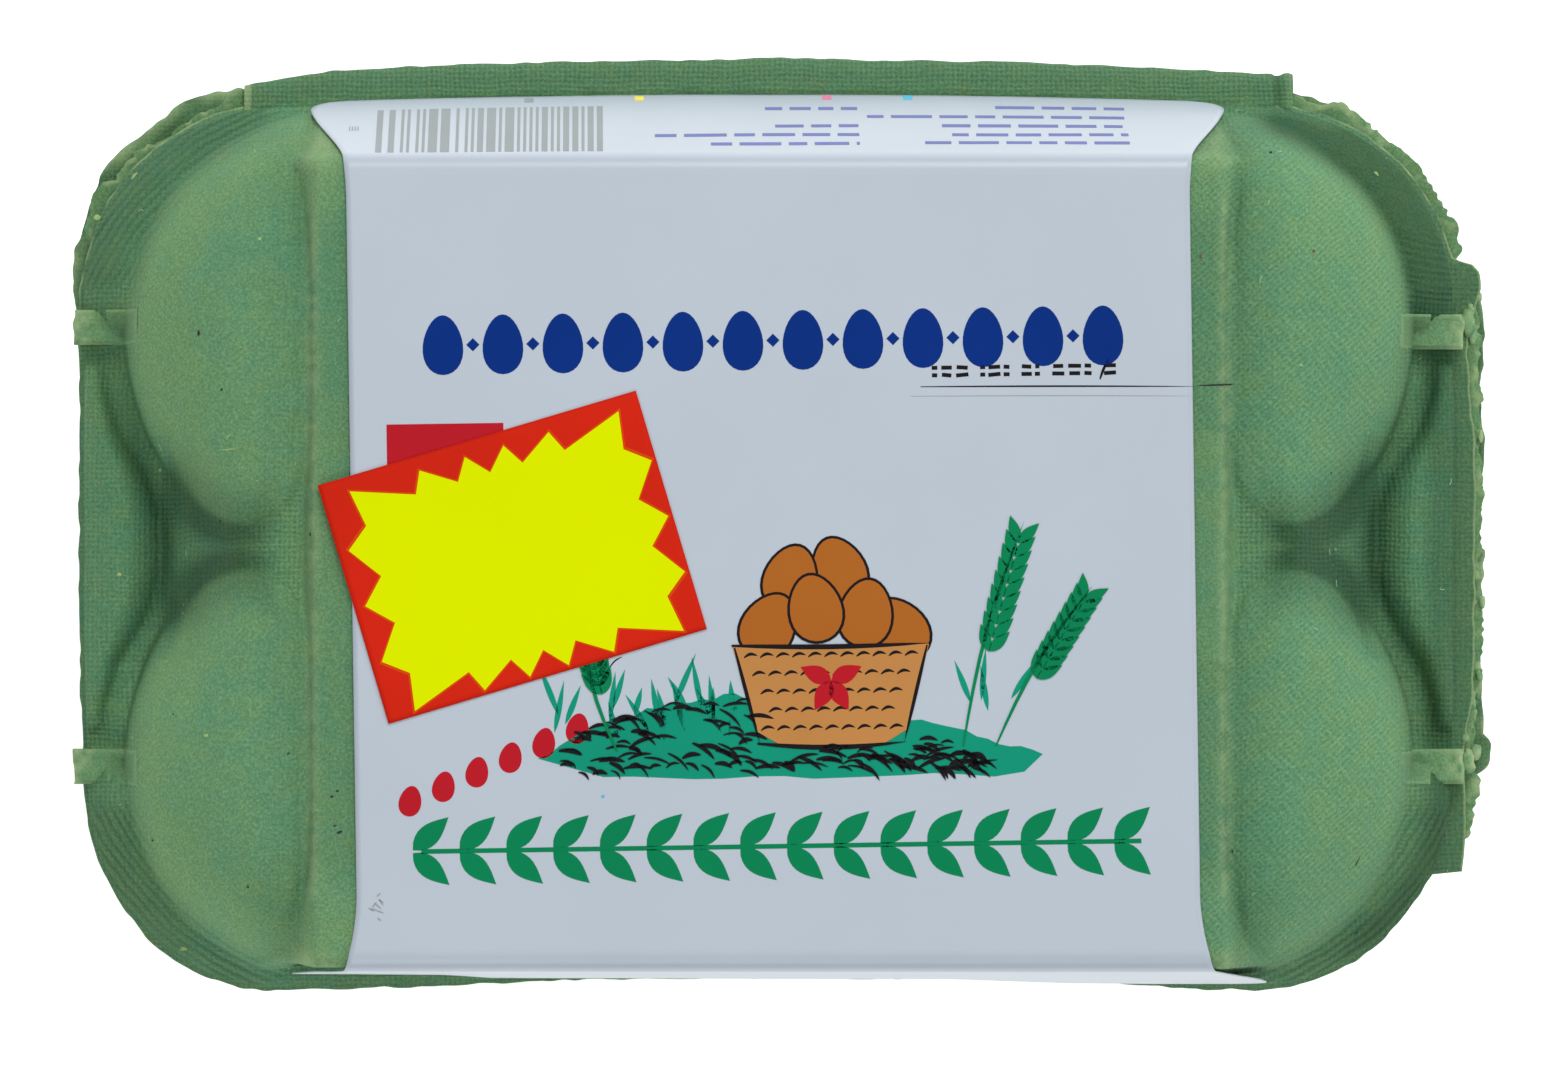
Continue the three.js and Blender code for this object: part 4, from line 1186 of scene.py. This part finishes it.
def barCodeShapes():
    draw = random.Random(5)
    bars, x = [], -42.0
    while x < -17.4:
        width = draw.choice((0.33, 0.33, 0.66, 0.99))
        bars.append(bar(x + width / 2, 52.6, width, 18.6))
        x += width + draw.choice((0.33, 0.33, 0.66))
    return bars


def textLineShapes():
    draw = random.Random(8)
    lines = []
    blocks = [
        (-1.0, [(46.0, 16), (49.6, 22), (53.2, 9), (60.4, 10)]),
        (28.0, [(46.2, 22), (49.6, 19), (53.2, 20), (57.0, 28), (61.0, 14)]),
    ]
    for middle, rows in blocks:
        for s, length in rows:
            x = middle + 11 - length
            while x < middle + 11:
                word = min(draw.uniform(1.6, 4.6), middle + 11 - x)
                lines.append(bar(x + word / 2, s, word, 1.15))
                x += word + 0.8
    return lines


def makePrint(paints):
    navy, green = ornamentRows()
    makeInk("inkNavy", navy, paints["navy"], 0)
    makeInk("inkGreen", green, paints["green"], 0)
    makeInk("inkBarCode", barCodeShapes(), paints["barGrey"], 0)
    makeInk("inkTextLines", textLineShapes(), paints["textBlue"], 0)
    marks = dict(barGrey=-25.6, yellow=-13.6, pink=6.8, cyan=15.6)
    for ink, x in marks.items():
        makeInk("mark" + ink.capitalize(), [bar(x, 64.9, 1.0, 1.8)], paints[ink], 0)
    redShapes = [bar(-34.9, 7.6, 12.5, 12.2)]
    for i in range(6):
        redShapes.append(oval(-39.2 + 3.6 * i, -26.6 + 1.5 * i, 1.2, 1.65, turn=-0.2, egg=0.16))
    makeInk("inkRed", redShapes, paints["red"], 0)
    makePicture(paints)


# Picture: a basket of brown eggs on a grassy bank between two sprigs
picture = dict(bankLeft=-25.5, bankRight=28.5, bankBase=-24.6, basketX=6.0, basketY=-14.0)


def makePicture(paints):
    draw = random.Random(12)
    left, right, ground = picture["bankLeft"], picture["bankRight"], picture["bankBase"]
    midX, midY = picture["basketX"], picture["basketY"]
    top = []
    count = 46
    for i in range(count + 1):
        t = i / count
        x = right + (left - right) * t
        swell = 9.5 * math.sin(math.pi * min(1, t * 0.97 + 0.02)) ** 0.8 * (0.45 + 0.55 * t)
        top.append((x, ground + 1.6 + swell + draw.uniform(-0.35, 0.35)))
    base = [(left + 7 + 45 * i / 14, ground + draw.uniform(-0.3, 0.3)) for i in range(15)]
    grass = [base + top]
    for i in range(30):
        x = draw.uniform(-24, 26)
        y, length = ground + 4 + draw.uniform(0, 4), draw.uniform(3, 6.5)
        grass.append(leaf(x, y, length, 0.32, math.radians(draw.uniform(55, 125))))
    makeInk("inkGrass", grass, paints["grass"], 0)
    basket = [(midX - 10.5, midY + 3.4), (midX - 8.2, midY - 5.6), (midX - 5.5, midY - 7.2),
              (midX + 5.5, midY - 7.2), (midX + 8.2, midY - 5.6), (midX + 10.5, midY + 3.4)]
    makeInk("inkStraw", [basket], paints["straw"], 2)
    eggs = [(-6.6, 5.6, -0.5), (-1.6, 7.4, 0.2), (3.8, 6.8, -0.15), (7.4, 5.0, 0.6), (1.0, 11.4, 0.35),
            (-4.2, 10.6, -0.3)]
    outlines, browns = [], []
    for dx, dy, turn in eggs:
        x, y = midX + dx, midY + dy
        outlines.append(oval(x, y, 3.05, 3.85, turn, egg=0.15))
        browns.append(oval(x, y, 2.75, 3.55, turn, egg=0.15))
    order = [4, 5, 0, 3, 2, 1]
    for rank, i in enumerate(order):
        makeInk(f"eggLine{rank}", [outlines[i]], paints["black"], 3 + 2 * rank)
        makeInk(f"eggBrown{rank}", [browns[i]], paints["brown"], 4 + 2 * rank)
    makeInk("basketFront", [basket], paints["straw"], 16)
    black = []
    for row in range(5):
        for i in range(11):
            x = midX - 8.6 + i * 1.72 + (row % 2) * 0.86
            y = midY + 2.2 - row * 1.95
            if abs(x - midX) < 9.6 - row * 0.65:
                black.append(stroke(x - 0.7, y, 1.5, 0.34, 0.12, 0.3))
    for side in (-1, 1):
        turn = math.radians(-90 - side * 14)
        black.append(stroke(midX + side * 10.3, midY + 3.3, 10.6, 0.4, turn))
    black.append(stroke(midX - 10.6, midY + 3.5, 21.2, 0.55, 0.0, -0.25))
    black.append(stroke(midX - 8.0, midY - 7.0, 16.0, 0.55, 0.0, -0.5))
    for i in range(190):
        x = draw.uniform(left + 2, right - 7)
        t = (x - left) / (right - left)
        high = ground + 1.5 + 8.5 * math.sin(math.pi * min(1, t + 0.08)) * (1 - 0.5 * t)
        y = draw.uniform(ground + 0.6, max(ground + 1.2, high))
        if abs(x - midX) < 9 and y > midY - 7.4:
            continue
        length, width, lean = draw.uniform(1.2, 3.2), draw.uniform(0.2, 0.55), draw.uniform(-50, 20)
        black.append(stroke(x, y, length, width, math.radians(lean), 0.25))
    makeInk("inkBlack", black, paints["black"], 18)
    green = []
    for rootX, lean, height in ((20.0, 74, 25), (23.5, 58, 20), (-17.0, 104, 15)):
        turn = math.radians(lean)
        green.append(stroke(rootX, ground + 3, height, 0.4, turn, 0.8))
        for k in range(9):
            t = 0.42 + 0.06 * k
            x = rootX + math.cos(turn) * height * t
            y = ground + 3 + math.sin(turn) * height * t
            for side in (1, -1):
                green.append(leaf(x, y, 3.1, 0.62, turn + side * 0.55))
    makeInk("inkLeaves", green, paints["green"], 20)
    ribbon = [leaf(midX, midY - 0.4, 3.6, 0.95, math.radians(a)) for a in (25, 155, -60, -120)]
    makeInk("inkRibbon", ribbon, paints["red"], 21)


# Ink stamp, smears and stray marks on the label
def makeMarks(paints):
    draw = random.Random(21)
    dashes = []
    x = 17.2
    while x < 35.6:
        width = draw.uniform(0.5, 1.5)
        for row in (18.9, 18.1):
            length = width * draw.uniform(0.7, 1)
            dashes.append(bar(x + width / 2, row, length, 0.42, draw.uniform(-0.1, 0.1)))
        x += width + draw.choice((0.25, 0.3, 1.2))
    dashes.append(stroke(16.0, 16.9, 30.0, 0.18, math.radians(-0.8), 0.05))
    dashes.append(stroke(35.2, 17.4, 2.6, 0.3, math.radians(65), 0.1))
    makeInk("stampInk", dashes, paints["black"], 0)
    faint = [stroke(14.9, 15.9, 30.5, 0.08, math.radians(-0.8), 0.05)]
    makeInk("faintLine", faint, paints["barGrey"], 0)
    makeInk("strayDot", [oval(-18.6, -26.4, 0.18, 0.18)], paints["cyan"], 0)
    smudge = [stroke(-43.9 + draw.uniform(0, 1.3), -36.6 - draw.uniform(0, 2.6), draw.uniform(0.4, 1.0), 0.16,
                     draw.uniform(-1, 1)) for _ in range(9)]
    makeInk("smudge", smudge, paints["barGrey"], 0)
    makeInk("thread", [stroke(-17.7, -12.7, 1.9, 0.16, math.radians(40), 0.2)], paints["black"], 0)
    block = [bar(-44.9 + 0.3 * k, 54.0, 0.14, 1.9) for k in range(4)]
    makeInk("greyBlock", block, paints["barGrey"], 0)


# Price sticker: a red ground with a blank yellow burst inside a thin orange line
burst = dict(x=0.35, y=-0.53, notch=9.9, tip=12.25, sideNotch=14.35, sideTip=16.9)


def burstOutline(grow):
    b = burst
    quarter = [
        (0.0, b["notch"]), (2.15, b["tip"]), (3.6, b["notch"]), (7.2, b["tip"]), (8.3, b["notch"]),
        (15.0, b["tip"]), (b["sideNotch"], 8.2), (b["sideTip"], 6.2), (b["sideNotch"], 2.6),
        (b["sideTip"], 0.0),
    ]
    right = quarter + [(u, -v) for u, v in reversed(quarter[:-1])]
    left = [(-u, v) for u, v in reversed(right[1:-1])]
    shape = [(b["x"] + u * (1 + grow / 15), b["y"] + v * (1 + grow / 11)) for u, v in right + left]
    return shape[::-1]


def onSticker(across, up, lift):
    turn = math.radians(sticker["turn"])
    x = sticker["x"] + across * math.cos(turn) - up * math.sin(turn)
    y = sticker["y"] + across * math.sin(turn) + up * math.cos(turn)
    z = level["panel"] + sticker["lift"] + sticker["thickness"] + lift + 0.04 * lumps(x, y, 11, 71)
    return np.stack([x, y, z], -1)


def makeSticker(paints):
    columns, rows = 60, 44
    u = np.linspace(-sticker["length"] / 2, sticker["length"] / 2, columns)
    v = np.linspace(-sticker["depth"] / 2, sticker["depth"] / 2, rows)
    U, V = np.meshgrid(u, v)
    over, under = onSticker(U, V, 0.0), onSticker(U, V, -sticker["thickness"])
    closedSheet("priceSticker", over, under, paints["stickerRed"], "sticker_paper", "price_sticker")
    common = dict(surface=onSticker, standsFor="price_sticker", slotName="sticker_paper")
    makeInk("burstLine", [burstOutline(0.28)], paints["burstLine"], 0, **common)
    makeInk("burst", [burstOutline(0.0)], paints["burstYellow"], 1, **common)


# Papers and inks
def makePaper(name, color, roughness, mottle=0.04, grain=0.00001, specular=0.5):
    w = Wiring(name)
    cloud = w.ramp(w.noise(45.0, 3.0), 0.3, 0.7, 1.0 - mottle, 1.0 + mottle)
    tint = w.tree.nodes.new("ShaderNodeCombineColor")
    for channel in range(3):
        w.link(cloud, tint.inputs[channel])
    shade = w.mix(1.0, linear(*color), tint.outputs[0], "MULTIPLY")
    normal = w.bump(w.noise(2200.0, 4.0, 0.65), grain, 0.6)
    return w.finish(shade, roughness, normal, specular)


# Loose fibres lying on the pulp, scattered by a node tree
fibres = dict(middle=(0, 0.35, 0), end=(0.5, -0.1, 0), radius=0.05, sides=4, shortest=0.35, longest=1.25,
              turnSeed=9)


def makeFibreTree(name, material):
    tree = bpy.data.node_groups.new(name, "GeometryNodeTree")
    face = tree.interface
    face.new_socket("Surface", in_out="INPUT", socket_type="NodeSocketGeometry")
    sockets = {}
    for socketName, kind in (("Density", "Float"), ("Length", "Float"), ("Seed", "Int")):
        sockets[socketName] = face.new_socket(socketName, in_out="INPUT", socket_type="NodeSocket" + kind)
    face.new_socket("Fibres", in_out="OUTPUT", socket_type="NodeSocketGeometry")
    add, link = tree.nodes.new, tree.links.new
    given, made = add("NodeGroupInput"), add("NodeGroupOutput")
    spread = add("GeometryNodeDistributePointsOnFaces")
    link(given.outputs["Surface"], spread.inputs["Mesh"])
    link(given.outputs["Density"], spread.inputs["Density"])
    link(given.outputs["Seed"], spread.inputs["Seed"])
    thread = add("GeometryNodeCurveQuadraticBezier")
    thread.inputs["Resolution"].default_value = fibres["sides"]
    for socket, place in (("Start", (-0.5, 0, 0)), ("Middle", fibres["middle"]), ("End", fibres["end"])):
        thread.inputs[socket].default_value = place
    ring = add("GeometryNodeCurvePrimitiveCircle")
    ring.inputs["Resolution"].default_value = fibres["sides"]
    ring.inputs["Radius"].default_value = fibres["radius"]
    tube = add("GeometryNodeCurveToMesh")
    tube.inputs["Fill Caps"].default_value = True
    link(thread.outputs[0], tube.inputs["Curve"])
    link(ring.outputs[0], tube.inputs["Profile Curve"])
    place = add("GeometryNodeInstanceOnPoints")
    link(spread.outputs["Points"], place.inputs["Points"])
    link(tube.outputs[0], place.inputs["Instance"])
    link(spread.outputs["Rotation"], place.inputs["Rotation"])
    size = add("FunctionNodeRandomValue")
    size.data_type = "FLOAT"
    size.inputs[2].default_value, size.inputs[3].default_value = fibres["shortest"], fibres["longest"]
    link(given.outputs["Seed"], size.inputs["Seed"])
    times = add("ShaderNodeMath")
    times.operation = "MULTIPLY"
    link(size.outputs[1], times.inputs[0])
    link(given.outputs["Length"], times.inputs[1])
    link(times.outputs[0], place.inputs["Scale"])
    turnBy = add("FunctionNodeRandomValue")
    turnBy.data_type = "FLOAT"
    turnBy.inputs[3].default_value = 2 * math.pi
    turnBy.inputs["Seed"].default_value = fibres["turnSeed"]
    axis = add("ShaderNodeCombineXYZ")
    link(turnBy.outputs[1], axis.inputs["Z"])
    turned = add("GeometryNodeRotateInstances")
    link(place.outputs[0], turned.inputs["Instances"])
    link(axis.outputs[0], turned.inputs["Rotation"])
    real = add("GeometryNodeRealizeInstances")
    link(turned.outputs[0], real.inputs[0])
    paint = add("GeometryNodeSetMaterial")
    paint.inputs["Material"].default_value = material
    link(real.outputs[0], paint.inputs["Geometry"])
    link(paint.outputs[0], made.inputs[0])
    return tree, {key: socket.identifier for key, socket in sockets.items()}


def scatterFibres(name, over, material, density, length, seed):
    tree, sockets = makeFibreTree(name + "Tree", material)
    mesh = over.data.copy()
    holder = bpy.data.objects.new(name, mesh)
    bpy.context.scene.collection.objects.link(holder)
    grow = holder.modifiers.new("fibres", "NODES")
    grow.node_group = tree
    grow[sockets["Density"]] = density
    grow[sockets["Length"]] = length
    grow[sockets["Seed"]] = seed
    seen = bpy.context.evaluated_depsgraph_get()
    done = bpy.data.meshes.new_from_object(holder.evaluated_get(seen), depsgraph=seen)
    holder.modifiers.clear()
    holder.data = done
    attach(holder, "root")
    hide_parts("carton")
    return holder


# Floor, lights and camera
view = dict(distance=1330.0, pixelsPerMm=9.35, imageWidth=1546, imageHeight=1080, centreX=768.5,
            centreY=547.0)
light = dict(world=0.32, floorGlow=0.62, aim=(0, 0, 0.04))
lamps = [
    dict(name="overhead", place=(0.05, 0.1, 1.5), size=0.9, power=3.6),
    dict(name="fromBack", place=(0.25, 1.0, 1.0), size=0.7, power=9.4),
    dict(name="fromRight", place=(1.15, 0.15, 0.6), size=0.7, power=3.2),
    dict(name="fromLeft", place=(-1.15, 0.15, 0.6), size=0.7, power=0.9),
    dict(name="fromFront", place=(-0.3, -1.0, 0.9), size=0.7, power=3.8),
]


def makeStage():
    floorMesh = bpy.data.meshes.new("floor")
    size = 3.0
    corners = [(x, y, 0.0) for y in (-size, size) for x in (-size, size)]
    floorMesh.from_pydata(corners, [], [(0, 1, 3, 2)])
    floor = bpy.data.objects.new("floor", floorMesh)
    bpy.context.scene.collection.objects.link(floor)
    w = Wiring("paleFloor")
    w.shader.inputs["Emission Color"].default_value = (1, 1, 1, 1)
    w.shader.inputs["Emission Strength"].default_value = light["floorGlow"]
    floorMesh.materials.append(w.finish((0.92, 0.92, 0.92, 1.0), 0.9, None, 0.0))


def addArea(name, place, size, power):
    lamp = bpy.data.lights.new(name, "AREA")
    lamp.shape = "DISK"
    lamp.size = size
    lamp.energy = power
    holder = bpy.data.objects.new(name, lamp)
    holder.location = place
    holder.rotation_euler = (Vector(light["aim"]) - Vector(place)).to_track_quat("-Z", "Y").to_euler()
    bpy.context.scene.collection.objects.link(holder)


def makeLights():
    world = bpy.data.worlds.new("studio")
    world.use_nodes = True
    world.node_tree.nodes["Background"].inputs["Color"].default_value = (1, 1, 1, 1)
    world.node_tree.nodes["Background"].inputs["Strength"].default_value = light["world"]
    bpy.context.scene.world = world
    for lamp in lamps:
        addArea(**lamp)
    bpy.context.scene.view_settings.view_transform = "Standard"


def makeCamera():
    optics = bpy.data.cameras.new("camera")
    optics.sensor_width = 36.0
    optics.lens = view["pixelsPerMm"] * 36.0 * view["distance"] / view["imageWidth"]
    optics.clip_start, optics.clip_end = 0.05, 10.0
    camera = bpy.data.objects.new("camera", optics)
    aimX = (view["imageWidth"] / 2 - view["centreX"]) / view["pixelsPerMm"]
    aimY = (view["centreY"] - view["imageHeight"] / 2) / view["pixelsPerMm"]
    spot = np.array([aimX, aimY, level["panel"] + view["distance"]]) + boxShift
    camera.location = Vector(spot.tolist()) * millimetre
    bpy.context.scene.collection.objects.link(camera)
    bpy.context.scene.camera = camera


makeCamera()
makeLights()
makeStage()
print("camera, lights and floor made")

pulpMaterial = makePulp()
lidPiece = makeLid(pulpMaterial)
print("lid made", len(lidPiece.data.polygons))
makeFlange(pulpMaterial)
cupsPiece = makeCups(pulpMaterial)
makeHinge(pulpMaterial)
makeRibs(pulpMaterial)
for layer in tornLayers:
    makeTornLayer(layer, pulpMaterial)
makeLumps("crumbs", [lumpShape(*crumb, 0.0, 130 + k) for k, crumb in enumerate(crumbs)], pulpMaterial)
print("tray and hinge made", len(cupsPiece.data.polygons))

paints = {ink: makePaper("ink" + ink.capitalize(), color, 0.6, specular=0.08)
          for ink, color in inkColors.items()}
paints["stickerRed"] = makePaper("stickerRed", (206, 36, 16), 0.6, 0.05, 0.00002, 0.05)
paints["burstLine"] = makePaper("burstLine", (212, 70, 8), 0.6, specular=0.05)
paints["burstYellow"] = makePaper("burstYellow", (218, 233, 0), 0.6, 0.01, specular=0.0)
makeLabel(makePaper("labelPaper", (179, 190, 202), 0.34, 0.015))
makePrint(paints)
makeMarks(paints)
makeSticker(paints)
print("label and sticker made")

paleFibre = makePaper("paleFibre", (178, 205, 160), 0.8)
darkFibre = makePaper("darkFibre", (48, 70, 52), 0.8)
scatterFibres("paleFibres", lidPiece, paleFibre, 7000.0, 0.0006, 3)
scatterFibres("darkFibres", lidPiece, darkFibre, 3000.0, 0.0004, 5)
makeSpecks(lidPiece, dict(dark=makePaper("darkSpeck", (40, 46, 36), 0.8),
                          red=makePaper("redSpeck", (120, 66, 52), 0.8),
                          pale=makePaper("paleSpeck", (158, 186, 118), 0.8, 0.15)))
print("fibres and specks made")
